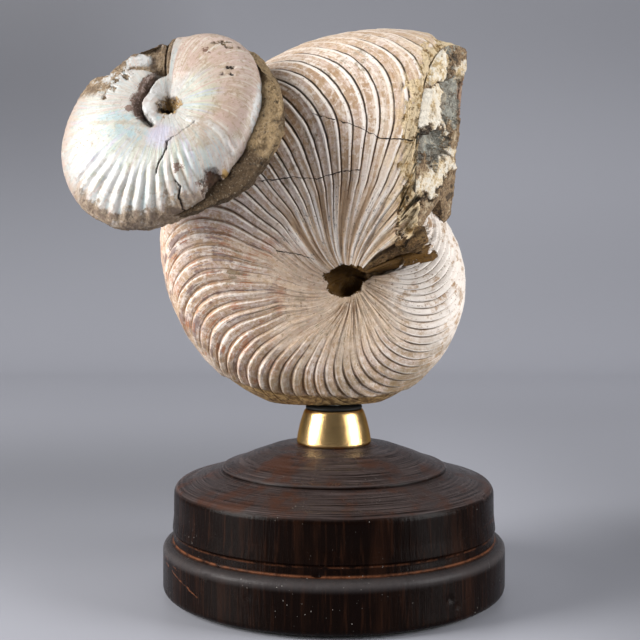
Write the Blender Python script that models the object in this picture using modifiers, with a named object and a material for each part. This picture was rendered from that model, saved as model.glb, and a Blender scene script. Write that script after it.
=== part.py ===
"""Half of a ribbed fossil nautilus with a small ammonite in its matrix, on a turned wooden stand.

Frame: metres, +Z up, +X to the right of the shown flank, the shown flank faces -Y.
The origin is the centre of the stand's underside, on the surface that it rests on.
"""

import math

import bmesh
import bpy
from mathutils import Matrix, Vector

TOUCH_GAP = 0.0003  # left between neighbouring solids
SWELL_SHARE = 1.6  # a faceted cutter grows by this share of the gap, so its flats keep clear as well

# Stand: felt pad, turned base, brass collar, rubber washer, threaded rod and its fixings.
FELT_RADIUS = 0.0830
FELT_THICKNESS = 0.0015
BASE_BOTTOM = FELT_THICKNESS + TOUCH_GAP
BASE_RADIUS = 0.0887
BASE_TOP = 0.0786
NUT_POCKET_RADIUS = 0.014
NUT_POCKET_TOP = 0.0135
COLLAR_FOOT_RADIUS = 0.0194
COLLAR_HEAD_RADIUS = 0.0151
COLLAR_TOP = 0.0952
COLLAR_BULGE = 0.0011
WASHER_RADIUS = 0.0146
SEAT_HEIGHT = 0.0980
ROD_RADIUS = 0.0040
ROD_BORE_RADIUS = ROD_RADIUS + TOUCH_GAP
ROD_BOTTOM = 0.0030
ROD_TOP = 0.1260
BORE_CLEARANCE_TOP = 0.0020  # the bore in the fossil ends above the rod
STEEL_WASHER_RADIUS = 0.0120
STEEL_WASHER_THICKNESS = 0.0020
NUT_ACROSS_FLATS = 0.0130
NUT_HEIGHT = 0.0065
TURN_STEPS = 48
SMALL_TURN_STEPS = 32  # for the collar and washers
ROD_SIDES = 20

# Nautilus half: one whorl and the start of the next, cut flat on its plane of symmetry.
COIL_X = 0.0077
COIL_Z = 0.1680
CUT_PLANE_Y = 0.0155
COIL_LEAN = math.radians(5.0)
WHORL_EXPANSION = 2.58  # growth of the radius in one turn
START_RADIUS = 0.0593  # at growth angle 0, which points along +X
WIDTH_RATIO = 0.54  # half width of a whorl over its radius
CREST_RATIO = 0.42  # place of the widest point over the radius
WHORL_SQUARENESS = 2.8
SHELL_END = 314.0  # growth angle where the body chamber's flank ends
EARLY_START = 350.0  # where the earlier whorl comes out, a turn after its own growth angle
UMBILICUS_RADIUS = 0.0095
UMBILICUS_DEPTH = 0.0280  # height of the umbilicus floor above the cut plane
SHOULDER_BASE = 0.0185  # the umbilicus wall's height above the cut plane is this
SHOULDER_SHARE = 0.62  # and this share of the whorl's half width
BREAK_X = 0.0648  # the broken face of the body chamber, on the cut plane at BREAK_Z
BREAK_Z = 0.2350
BREAK_SLOPE_Y = 0.29
BREAK_TWIST = 1.2  # growth of BREAK_SLOPE_Y with the height above the coil axis, per metre
BREAK_SLOPE_Z = 0.083
BREAK_FROM = 270.0  # growth angle past which the break can cut a section
PEELED_FROM = 284.0  # growth angle past which the outer edge has lost its shell
SHELL_THICKNESS = 0.0024
NAUTILUS_ANGLES = 72
NAUTILUS_RINGS = 13

# Ammonite: a smaller, flatter shell with both flanks.
AMMONITE_CENTRE = Vector((-0.0752, -0.0480, 0.2430))
AMMONITE_NORMAL = Vector((-0.300, -0.865, 0.400))
AMMONITE_START_RADIUS = 0.0435
AMMONITE_EXPANSION = 1.84
AMMONITE_START_ANGLE = 90.0
AMMONITE_WIDTH_RATIO = 0.28
AMMONITE_CREST_RATIO = 0.42
AMMONITE_SQUARENESS = 2.2
AMMONITE_PIT_RADIUS = 0.0055
AMMONITE_PIT_RATIO = 0.60
AMMONITE_BROKEN_FROM = 244.0  # growth angle where the broken outer edge begins
AMMONITE_BROKEN_TO = 350.0
AMMONITE_BROKEN_RADIUS = 0.0465  # of the broken edge at its end
AMMONITE_OVAL = 0.815  # the shell is pressed a little oval
AMMONITE_OVAL_ANGLE = 155.0
AMMONITE_ANGLES = 48
AMMONITE_RINGS = 9

# Matrix: the sandstone wedge between the two shells.
MATRIX_ANGLES = 32
MATRIX_SECTIONS = 7
MATRIX_FRONT = -0.0030
MATRIX_DEPTH = 0.0480
MATRIX_HALF_WIDTH = 0.0465
MATRIX_HALF_HEIGHT = 0.0440
MATRIX_SHIFT = (0.0075, -0.0060)  # its front's middle, across and up from the ammonite's
MATRIX_SLANT = (-0.25, 0.40)  # how far the middle moves across and up per metre of depth
MATRIX_TAPER = 48.0  # angle whose cosine is the last section over the first


def clear_scene():
    """Removes every object of the starting scene."""
    for scene_object in list(bpy.data.objects):
        bpy.data.objects.remove(scene_object, do_unlink=True)


def new_collection(name):
    """A collection linked to the scene."""
    collection = bpy.data.collections.new(name)
    bpy.context.scene.collection.children.link(collection)
    return collection


def new_material(name, colour, roughness, metallic=0.0):
    """A Principled material with one colour."""
    material = bpy.data.materials.new(name)
    material.use_nodes = True
    shader = material.node_tree.nodes["Principled BSDF"]
    shader.inputs["Base Color"].default_value = (*colour, 1.0)
    shader.inputs["Roughness"].default_value = roughness
    shader.inputs["Metallic"].default_value = metallic
    material.diffuse_color = (*colour, 1.0)
    return material


def add_object(name, mesh, material, collection):
    """Links a mesh as a named, smooth-shaded object."""
    mesh.name = name
    mesh.shade_smooth()
    mesh.set_sharp_from_angle(angle=math.radians(35.0))
    mesh.materials.clear()
    mesh.materials.append(material)
    new_object = bpy.data.objects.new(name, mesh)
    collection.objects.link(new_object)
    return new_object


def mesh_from(build):
    """A mesh filled by a function that works on an empty bmesh."""
    mesh = bpy.data.meshes.new("mesh")
    work = bmesh.new()
    build(work)
    work.to_mesh(mesh)
    work.free()
    return mesh


def add_turned(name, profile, material, collection, steps=TURN_STEPS):
    """Turns a closed (radius, height) outline, listed down its outer side first, about the Z axis."""

    def outline(work):
        corners = [work.verts.new((radius, 0.0, height)) for radius, height in profile]
        for index, corner in enumerate(corners):
            work.edges.new((corner, corners[(index + 1) % len(corners)]))

    turned = add_object(name, mesh_from(outline), material, collection)
    screw = turned.modifiers.new("turn", "SCREW")
    screw.axis = "Z"
    screw.steps = steps
    screw.render_steps = steps
    screw.use_merge_vertices = True
    screw.merge_threshold = 0.00001
    screw.use_smooth_shade = True
    return turned


def cut_with(target, cutter):
    """Takes the cutter's volume away from the target."""
    boolean = target.modifiers.new("cut " + cutter.name, "BOOLEAN")
    boolean.operation = "DIFFERENCE"
    boolean.object = cutter
    return boolean


def add_cutter(name, mesh, collection):
    """Links a mesh as a cutter, kept out of the model itself."""
    cutter = bpy.data.objects.new(name, mesh)
    collection.objects.link(cutter)
    cutter.hide_render = True
    cutter.display_type = "WIRE"
    return cutter


def arc(centre, radius, start, end, count):
    """Points of an arc in the (radius, height) plane, with angles in degrees."""
    points = []
    for step in range(count + 1):
        angle = math.radians(start + (end - start) * step / count)
        across = centre[0] + radius * math.cos(angle)
        up = centre[1] + radius * math.sin(angle)
        points.append((across, up))
    return points


def cylinder_mesh(radius, bottom, top, sides):
    """A capped cylinder or prism on the Z axis."""

    def build(work):
        place = Matrix.Translation((0.0, 0.0, (bottom + top) / 2))
        bmesh.ops.create_cone(
            work,
            cap_ends=True,
            segments=sides,
            radius1=radius,
            radius2=radius,
            depth=top - bottom,
            matrix=place,
        )

    return mesh_from(build)


# ---------------------------------------------------------------- stand


def base_profile():
    """The turned outline: two stacked discs with worn steps, a sloped top with a ring, and the nut pocket."""
    foot = arc((BASE_RADIUS - 0.0040, BASE_BOTTOM + 0.0040), 0.0040, 0.0, -90.0, 3)
    upper_rim = arc((0.0770, 0.0532), 0.0055, 70.0, 0.0, 4)
    shoulder = arc((0.0848, 0.0242), 0.0034, 65.0, 0.0, 3)
    outer = [
        (COLLAR_FOOT_RADIUS, BASE_TOP),
        (0.0205, BASE_TOP - 0.0001),
        (0.0330, 0.0758),
        (0.0450, 0.0714),
        (0.0555, 0.0668),
        (0.0575, 0.0650),
        (0.0590, 0.0643),
        (0.0690, 0.0614),
        (0.0745, 0.0594),
        *upper_rim,
        (0.0828, 0.0420),
        (0.0835, 0.0346),
        (0.0827, 0.0332),
        (0.0833, 0.0300),
        (0.0850, 0.0284),
        *shoulder,
        *foot,
    ]
    inner = [
        (NUT_POCKET_RADIUS, BASE_BOTTOM),
        (NUT_POCKET_RADIUS, NUT_POCKET_TOP),
        (ROD_BORE_RADIUS, NUT_POCKET_TOP),
        (ROD_BORE_RADIUS, BASE_TOP),
    ]
    return outer + inner


def collar_profile():
    """A convex tapered sleeve with a bore for the rod."""
    bottom = BASE_TOP + TOUCH_GAP
    height = COLLAR_TOP - bottom
    outer = []
    for step in range(7):
        down = step / 6
        bulge = COLLAR_BULGE * math.sin(math.pi * down)
        radius = COLLAR_HEAD_RADIUS + (COLLAR_FOOT_RADIUS - COLLAR_HEAD_RADIUS) * down
        outer.append((radius + bulge, COLLAR_TOP - height * down))
    return [(ROD_BORE_RADIUS, COLLAR_TOP), *outer, (ROD_BORE_RADIUS, bottom)]


def ring_profile(outer_radius, bore_radius, bottom, top):
    """A flat ring."""
    return [
        (bore_radius, top),
        (outer_radius, top),
        (outer_radius, bottom),
        (bore_radius, bottom),
    ]


def build_stand(parts, rod_bore):
    """The turned base and everything that clamps the fossil to it."""
    wood = new_material("dark wood", (0.030, 0.017, 0.012), 0.45)
    brass = new_material("brass", (0.62, 0.44, 0.20), 0.28, 1.0)
    rubber = new_material("black rubber", (0.015, 0.015, 0.015), 0.7)
    steel = new_material("zinc steel", (0.60, 0.60, 0.60), 0.35, 1.0)
    felt = new_material("black felt", (0.012, 0.013, 0.012), 0.95)

    add_turned("wood_base", base_profile(), wood, parts)
    add_turned("brass_collar", collar_profile(), brass, parts, SMALL_TURN_STEPS)
    washer_bottom = COLLAR_TOP + TOUCH_GAP
    washer_top = SEAT_HEIGHT - TOUCH_GAP
    washer_ring = ring_profile(WASHER_RADIUS, ROD_BORE_RADIUS, washer_bottom, washer_top)
    add_turned("rubber_washer", washer_ring, rubber, parts, SMALL_TURN_STEPS)

    pad = cylinder_mesh(FELT_RADIUS, 0.0, FELT_THICKNESS, TURN_STEPS)
    add_object("felt_pad", pad, felt, parts)
    rod = cylinder_mesh(ROD_RADIUS, ROD_BOTTOM, ROD_TOP, ROD_SIDES)
    add_object("threaded_rod", rod, steel, parts)

    steel_top = NUT_POCKET_TOP - TOUCH_GAP
    steel_bottom = steel_top - STEEL_WASHER_THICKNESS
    steel_ring = ring_profile(STEEL_WASHER_RADIUS, ROD_BORE_RADIUS, steel_bottom, steel_top)
    add_turned("steel_washer", steel_ring, steel, parts, SMALL_TURN_STEPS)
    nut_top = steel_bottom - TOUCH_GAP
    corner_radius = NUT_ACROSS_FLATS / 2 / math.cos(math.pi / 6)
    hexagon = cylinder_mesh(corner_radius, nut_top - NUT_HEIGHT, nut_top, 6)
    cut_with(add_object("hex_nut", hexagon, steel, parts), rod_bore)


# ---------------------------------------------------------------- shells


def smooth_share(value, low, high):
    """0 at low, 1 at high, and a smooth rise between."""
    share = min(1.0, max(0.0, (value - low) / (high - low)))
    return share * share * (3.0 - 2.0 * share)


def nautilus_radius(angle):
    """Radius of the whorl's outer edge at a growth angle in degrees."""
    peeled = SHELL_THICKNESS * smooth_share(angle, PEELED_FROM, PEELED_FROM + 5.0)
    return START_RADIUS * WHORL_EXPANSION ** (angle / 360.0) - peeled


def lean_nautilus(across, out, up):
    """Takes a point of the nautilus's own frame, about the coil axis, to the world."""
    height = up * math.cos(COIL_LEAN) - out * math.sin(COIL_LEAN)
    depth = up * math.sin(COIL_LEAN) + out * math.cos(COIL_LEAN)
    return Vector((COIL_X + across, CUT_PLANE_Y - depth, COIL_Z + height))


def clip_to_break(radius, angle, out):
    """Ends a radius at the broken face of the body chamber."""
    turn = math.radians(angle)
    facing = math.cos(turn) + (BREAK_SLOPE_Z - BREAK_TWIST * out) * math.sin(turn)
    if facing <= 0.05 or angle < BREAK_FROM:
        return radius
    across = BREAK_X - COIL_X - BREAK_SLOPE_Y * out - BREAK_SLOPE_Z * (BREAK_Z - COIL_Z)
    return min(radius, across / facing)


def clip_to_seat(radius, angle, out):
    """Ends a radius at the flat ground for the stand."""
    down = math.sin(math.radians(angle)) * math.cos(COIL_LEAN)
    if down <= 0.2:
        return radius
    return min(radius, (COIL_Z - SEAT_HEIGHT - out * math.sin(COIL_LEAN)) / down)


def whorl_reach(radius, out):
    """Radius of a whorl's outer side at a height above the cut plane, or 0 above its crest."""
    level = out / (WIDTH_RATIO * radius)
    if level >= 1.0:
        return 0.0
    bulge = (1.0 - level**WHORL_SQUARENESS) ** (1 / WHORL_SQUARENESS)
    return radius * (CREST_RATIO + (1.0 - CREST_RATIO) * bulge)


def nautilus_section(angle):
    """(radius, height above the cut plane) of one radial section, from the outer edge to the umbilicus."""
    early = START_RADIUS * WHORL_EXPANSION ** ((angle - 360.0) / 360.0)
    step_down = smooth_share(angle, SHELL_END, EARLY_START)
    radius = nautilus_radius(angle) * (1.0 - step_down) + early * step_down
    width = WIDTH_RATIO * radius
    shoulder = min(width * 0.94, SHOULDER_BASE + SHOULDER_SHARE * width)
    crest = CREST_RATIO * radius
    points = []
    outer_rings = NAUTILUS_RINGS - 5
    for ring in range(outer_rings + 1):
        turn = math.radians(90.0 * ring / outer_rings)
        out = width * math.sin(turn) ** (2 / WHORL_SQUARENESS)
        reach = crest + (radius - crest) * math.cos(turn) ** (2 / WHORL_SQUARENESS)
        points.append((max(clip_to_break(reach, angle, out), whorl_reach(early, out)), out))
    for share in (0.35, 0.7, 1.0):
        out = width + (shoulder - width) * share**2
        reach = crest + (UMBILICUS_RADIUS - crest) * share
        points.append((clip_to_break(reach, angle, out), out))
    points.append((UMBILICUS_RADIUS * 0.75, UMBILICUS_DEPTH + (shoulder - UMBILICUS_DEPTH) * 0.5))
    points.append((UMBILICUS_RADIUS * 0.45, UMBILICUS_DEPTH + 0.001))
    return points


def nautilus_rings():
    """The section at every growth angle, in the world."""
    rings = []
    for step in range(NAUTILUS_ANGLES):
        angle = EARLY_START - 360.0 + 360.0 * step / NAUTILUS_ANGLES
        ring = []
        for radius, out in nautilus_section(angle):
            cut = clip_to_seat(radius, angle, out)
            turn = math.radians(angle)
            ring.append(lean_nautilus(cut * math.cos(turn), out, -cut * math.sin(turn)))
        rings.append(ring)
    return rings


def loft(work, rings):
    """Joins rings of equal length into a closed band and returns their vertices."""
    rows = [[work.verts.new(point) for point in ring] for ring in rings]
    for index, row in enumerate(rows):
        following = rows[(index + 1) % len(rows)]
        for step in range(len(row) - 1):
            work.faces.new((row[step], row[step + 1], following[step + 1], following[step]))
    return rows


def close_pole(work, rows, column, centre):
    """Closes one end of a band with a fan to its centre."""
    pole = work.verts.new(centre)
    for index, row in enumerate(rows):
        following = rows[(index + 1) % len(rows)]
        work.faces.new((row[column], pole, following[column]))


def outward(work):
    """Turns every face outwards, on triangles."""
    bmesh.ops.triangulate(work, faces=work.faces[:])
    bmesh.ops.remove_doubles(work, verts=work.verts[:], dist=0.00002)
    bmesh.ops.recalc_face_normals(work, faces=work.faces[:])


def fill_nautilus(work):
    """The whole half: flank, umbilicus, broken end, ground seat and flat cut."""
    rows = loft(work, nautilus_rings())
    close_pole(work, rows, -1, lean_nautilus(0.0, UMBILICUS_DEPTH, 0.0))
    work.faces.new([row[0] for row in rows])
    outward(work)


def ammonite_axes():
    """The ammonite's own right, up and outward directions in the world."""
    outward_axis = AMMONITE_NORMAL.normalized()
    right = Vector((0.0, 0.0, 1.0)).cross(outward_axis).normalized()
    return right, outward_axis.cross(right), outward_axis


def ammonite_point(radius, angle, out):
    """A point of the ammonite's own frame in the world, with the oval pressing."""
    right, up, outward_axis = ammonite_axes()
    turn = math.radians(AMMONITE_START_ANGLE - angle)
    squeeze = math.radians(AMMONITE_OVAL_ANGLE)
    along = radius * math.cos(turn - squeeze) * AMMONITE_OVAL
    side = radius * math.sin(turn - squeeze)
    across = along * math.cos(squeeze) - side * math.sin(squeeze)
    height = along * math.sin(squeeze) + side * math.cos(squeeze)
    return AMMONITE_CENTRE + right * across + up * height + outward_axis * out


def ammonite_radius(angle):
    """Radius of the outer edge at a growth angle, up to the broken edge."""
    grown = AMMONITE_START_RADIUS * AMMONITE_EXPANSION ** (angle / 360.0)
    broken = smooth_share(angle, AMMONITE_BROKEN_FROM, AMMONITE_BROKEN_TO)
    return grown * (1.0 - broken) + AMMONITE_BROKEN_RADIUS * broken


def ammonite_rings():
    """Sections of both flanks at every growth angle, from the front pit to the back one."""
    rings = []
    for step in range(AMMONITE_ANGLES):
        angle = 360.0 * step / AMMONITE_ANGLES
        radius = ammonite_radius(angle)
        width = AMMONITE_WIDTH_RATIO * radius
        crest = AMMONITE_CREST_RATIO * radius
        pit = AMMONITE_PIT_RATIO * AMMONITE_WIDTH_RATIO * AMMONITE_START_RADIUS
        half = [(AMMONITE_PIT_RADIUS * 0.5, pit), (AMMONITE_PIT_RADIUS, width * 0.90)]
        half.append(((AMMONITE_PIT_RADIUS + crest) / 2, width * 0.98))
        outer_rings = AMMONITE_RINGS - 3
        for ring in range(outer_rings + 1):
            turn = math.radians(90.0 * ring / outer_rings)
            reach = crest + (radius - crest) * math.sin(turn) ** (2 / AMMONITE_SQUARENESS)
            half.append((reach, width * math.cos(turn) ** (2 / AMMONITE_SQUARENESS)))
        section = half + [(reach, -out) for reach, out in reversed(half[:-1])]
        rings.append([ammonite_point(reach, angle, out) for reach, out in section])
    return rings


def fill_ammonite(work):
    """The whole small shell."""
    rows = loft(work, ammonite_rings())
    pit = AMMONITE_PIT_RATIO * AMMONITE_WIDTH_RATIO * AMMONITE_START_RADIUS
    close_pole(work, rows, 0, ammonite_point(0.0, 0.0, pit))
    close_pole(work, rows, -1, ammonite_point(0.0, 0.0, -pit))
    outward(work)


def matrix_section(depth):
    """(across, up, half width, half height) of the wedge's section at a depth behind the ammonite's plane."""
    taper = math.cos(min(depth / MATRIX_DEPTH, 1.0) * math.radians(MATRIX_TAPER))
    across = MATRIX_SHIFT[0] + MATRIX_SLANT[0] * depth
    up = MATRIX_SHIFT[1] + MATRIX_SLANT[1] * depth
    return across, up, MATRIX_HALF_WIDTH * taper, MATRIX_HALF_HEIGHT * taper


def fill_matrix(work):
    """A stack of uneven ovals from the ammonite's plane back into the nautilus."""
    right, up, outward_axis = ammonite_axes()
    rings = []
    for section in range(MATRIX_SECTIONS):
        depth = MATRIX_FRONT + (MATRIX_DEPTH - MATRIX_FRONT) * section / (MATRIX_SECTIONS - 1)
        across, height, half_width, half_height = matrix_section(depth)
        middle = AMMONITE_CENTRE + right * across + up * height - outward_axis * depth
        ring = []
        for step in range(MATRIX_ANGLES):
            turn = math.tau * step / MATRIX_ANGLES
            rough = 1.0 + 0.025 * math.sin(3 * turn - 90.0 * depth) + 0.015 * math.sin(7 * turn + 1.0)
            sideways = right * (half_width * rough * math.cos(turn))
            upwards = up * (half_height * rough * math.sin(turn))
            ring.append(middle + sideways + upwards)
        rings.append(ring)
    rows = [[work.verts.new(point) for point in ring] for ring in rings]
    for row, following in zip(rows, rows[1:]):
        for step in range(MATRIX_ANGLES):
            after = (step + 1) % MATRIX_ANGLES
            work.faces.new((row[step], row[after], following[after], following[step]))
    work.faces.new(rows[0])
    work.faces.new(rows[-1])
    outward(work)


def swollen(name, fill, collection):
    """A copy of a shell grown by the touching gap, to cut its neighbour."""

    def build(work):
        fill(work)
        work.normal_update()
        for vertex in work.verts:
            vertex.co += vertex.normal * TOUCH_GAP * SWELL_SHARE

    return add_cutter(name, mesh_from(build), collection)


def build_fossils(parts, cutters, rod_bore):
    """The nautilus half, the ammonite and the matrix between them."""
    shell = new_material("fossil shell", (0.52, 0.42, 0.35), 0.5)
    pearl = new_material("pearly shell", (0.70, 0.62, 0.56), 0.3)
    sandstone = new_material("sandstone matrix", (0.20, 0.15, 0.085), 0.9)

    nautilus = add_object("nautilus", mesh_from(fill_nautilus), shell, parts)
    cut_with(nautilus, rod_bore)

    add_object("ammonite", mesh_from(fill_ammonite), pearl, parts)
    matrix = add_object("matrix_stone", mesh_from(fill_matrix), sandstone, parts)
    cut_with(matrix, swollen("ammonite_room", fill_ammonite, cutters))
    cut_with(matrix, swollen("nautilus_room", fill_nautilus, cutters))


def main():
    clear_scene()
    parts = new_collection("fossil nautilus half on stand")
    cutters = new_collection("cutters")
    bore_mesh = cylinder_mesh(ROD_BORE_RADIUS, FELT_THICKNESS, ROD_TOP + BORE_CLEARANCE_TOP, ROD_SIDES)
    rod_bore = add_cutter("rod_bore", bore_mesh, cutters)
    build_stand(parts, rod_bore)
    build_fossils(parts, cutters, rod_bore)


main()
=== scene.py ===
"""Looks of a ribbed fossil nautilus half with a small pearly ammonite, on a turned wooden stand."""

from __future__ import annotations

import functools
import logging
import math
from dataclasses import dataclass, fields
from enum import Enum
from types import SimpleNamespace as Shares
from typing import Callable, ClassVar, Sequence, Union

import bmesh
import bpy
from bpy.types import Camera, Light, Material, Mesh, Node, NodeSocket, NodeTree, Object
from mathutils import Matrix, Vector


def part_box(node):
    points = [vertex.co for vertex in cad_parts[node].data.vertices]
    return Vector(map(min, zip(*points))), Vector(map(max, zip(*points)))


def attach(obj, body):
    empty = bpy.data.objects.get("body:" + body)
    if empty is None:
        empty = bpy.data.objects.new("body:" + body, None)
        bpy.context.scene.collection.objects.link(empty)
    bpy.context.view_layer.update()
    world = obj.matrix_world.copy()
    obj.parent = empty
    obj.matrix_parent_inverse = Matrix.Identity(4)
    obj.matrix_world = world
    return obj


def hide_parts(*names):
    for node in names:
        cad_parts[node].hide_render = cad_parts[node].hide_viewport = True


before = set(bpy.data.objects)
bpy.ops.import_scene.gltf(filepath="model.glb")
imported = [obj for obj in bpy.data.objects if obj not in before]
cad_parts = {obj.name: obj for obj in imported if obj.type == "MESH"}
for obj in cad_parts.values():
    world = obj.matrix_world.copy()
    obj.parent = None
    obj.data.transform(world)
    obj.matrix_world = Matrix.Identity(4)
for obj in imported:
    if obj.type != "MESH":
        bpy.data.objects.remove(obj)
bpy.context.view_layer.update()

log = logging.getLogger("fossil")

BODY = "root"
DEGREE = math.pi / 180.0
FULL_TURN = 2.0 * math.pi
MILLIMETRES = 1000.0
SAME_PLACE = 0.0000002
LINE_NAMES = ("line_a", "line_b", "line_c")
TURNED_SHARP = 40.0
THREAD_SHARP = 30.0


class Slot(Enum):
    """Material slots of the record, whose names are logged with the new pieces."""

    SHELL = "fossil_shell"
    PEARL = "pearly_shell"
    SANDSTONE = "sandstone"
    RUBBER = "black_rubber"
    BRASS = "brass"
    WOOD = "dark_wood"
    STEEL = "zinc_steel"
    FELT = "black_felt"


Colour = tuple[float, float, float]
Spot = tuple[float, float]
Value = Union["Wire", float, int]


# ------------------------------------------------------------------ meshes


def linked(name: str, data: Mesh | Camera | Light) -> Object:
    """Puts data into the scene as an object at the origin.

    Args:
        name: The object's name.
        data: What it shows.

    Returns:
        The object.
    """
    made = bpy.data.objects.new(name, data)
    bpy.context.scene.collection.objects.link(made)
    return made


def woven(name: str, rows: Sequence[Sequence[Sequence[float]]], ring: bool, sharp: float,
          material: Material) -> Object:
    """Joins rows of points, each a closed loop, into a closed shape.

    Args:
        name: The piece's name.
        rows: The rows.
        ring: Whether the last row joins the first one. If not, both ends are capped.
        sharp: Angle in degrees above which an edge stays sharp.
        material: Its material.

    Returns:
        The piece, smooth shaded, at the origin.
    """
    work = bmesh.new()
    loops = [[work.verts.new(point) for point in row] for row in rows]
    for row, following in zip(loops, loops[1:] + loops[:1] if ring else loops[1:]):
        for index, corner in enumerate(row):
            after = (index + 1) % len(row)
            work.faces.new((corner, row[after], following[after], following[index]))
    if not ring:
        work.faces.new(loops[0][::-1])
        work.faces.new(loops[-1])
    bmesh.ops.recalc_face_normals(work, faces=work.faces[:])
    mesh = bpy.data.meshes.new(name)
    work.to_mesh(mesh)
    work.free()
    mesh.shade_smooth()
    mesh.set_sharp_from_angle(angle=sharp * DEGREE)
    mesh.materials.append(material)
    return linked(name, mesh)


# ------------------------------------------------------------------ formulas in node trees


def operator(operation: str, swapped: bool = False) -> Callable[["Wire", Value], "Wire"]:
    """Makes an operator of Wire.

    Args:
        operation: The math node's operation.
        swapped: Whether the other operand comes first.

    Returns:
        The method.
    """

    def run(wire: "Wire", other: Value) -> "Wire":
        """Adds one math node."""
        return wire.graph.math(operation, *((other, wire) if swapped else (wire, other)))

    return run


@dataclass(frozen=True)
class Wire:
    """A value running through a node tree, written with ordinary arithmetic."""

    graph: "Graph"
    socket: NodeSocket

    __add__ = operator("ADD")
    __sub__ = operator("SUBTRACT")
    __mul__ = operator("MULTIPLY")
    __truediv__ = operator("DIVIDE")
    __pow__ = operator("POWER")
    __gt__ = operator("GREATER_THAN")
    __lt__ = operator("LESS_THAN")
    __radd__ = operator("ADD", True)
    __rsub__ = operator("SUBTRACT", True)
    __rmul__ = operator("MULTIPLY", True)

    def __neg__(self) -> Wire:
        """The opposite."""
        return self.graph.math("MULTIPLY", self, -1.0)

    def __abs__(self) -> Wire:
        """The size without its sign."""
        return self.graph.math("ABSOLUTE", self)


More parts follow.
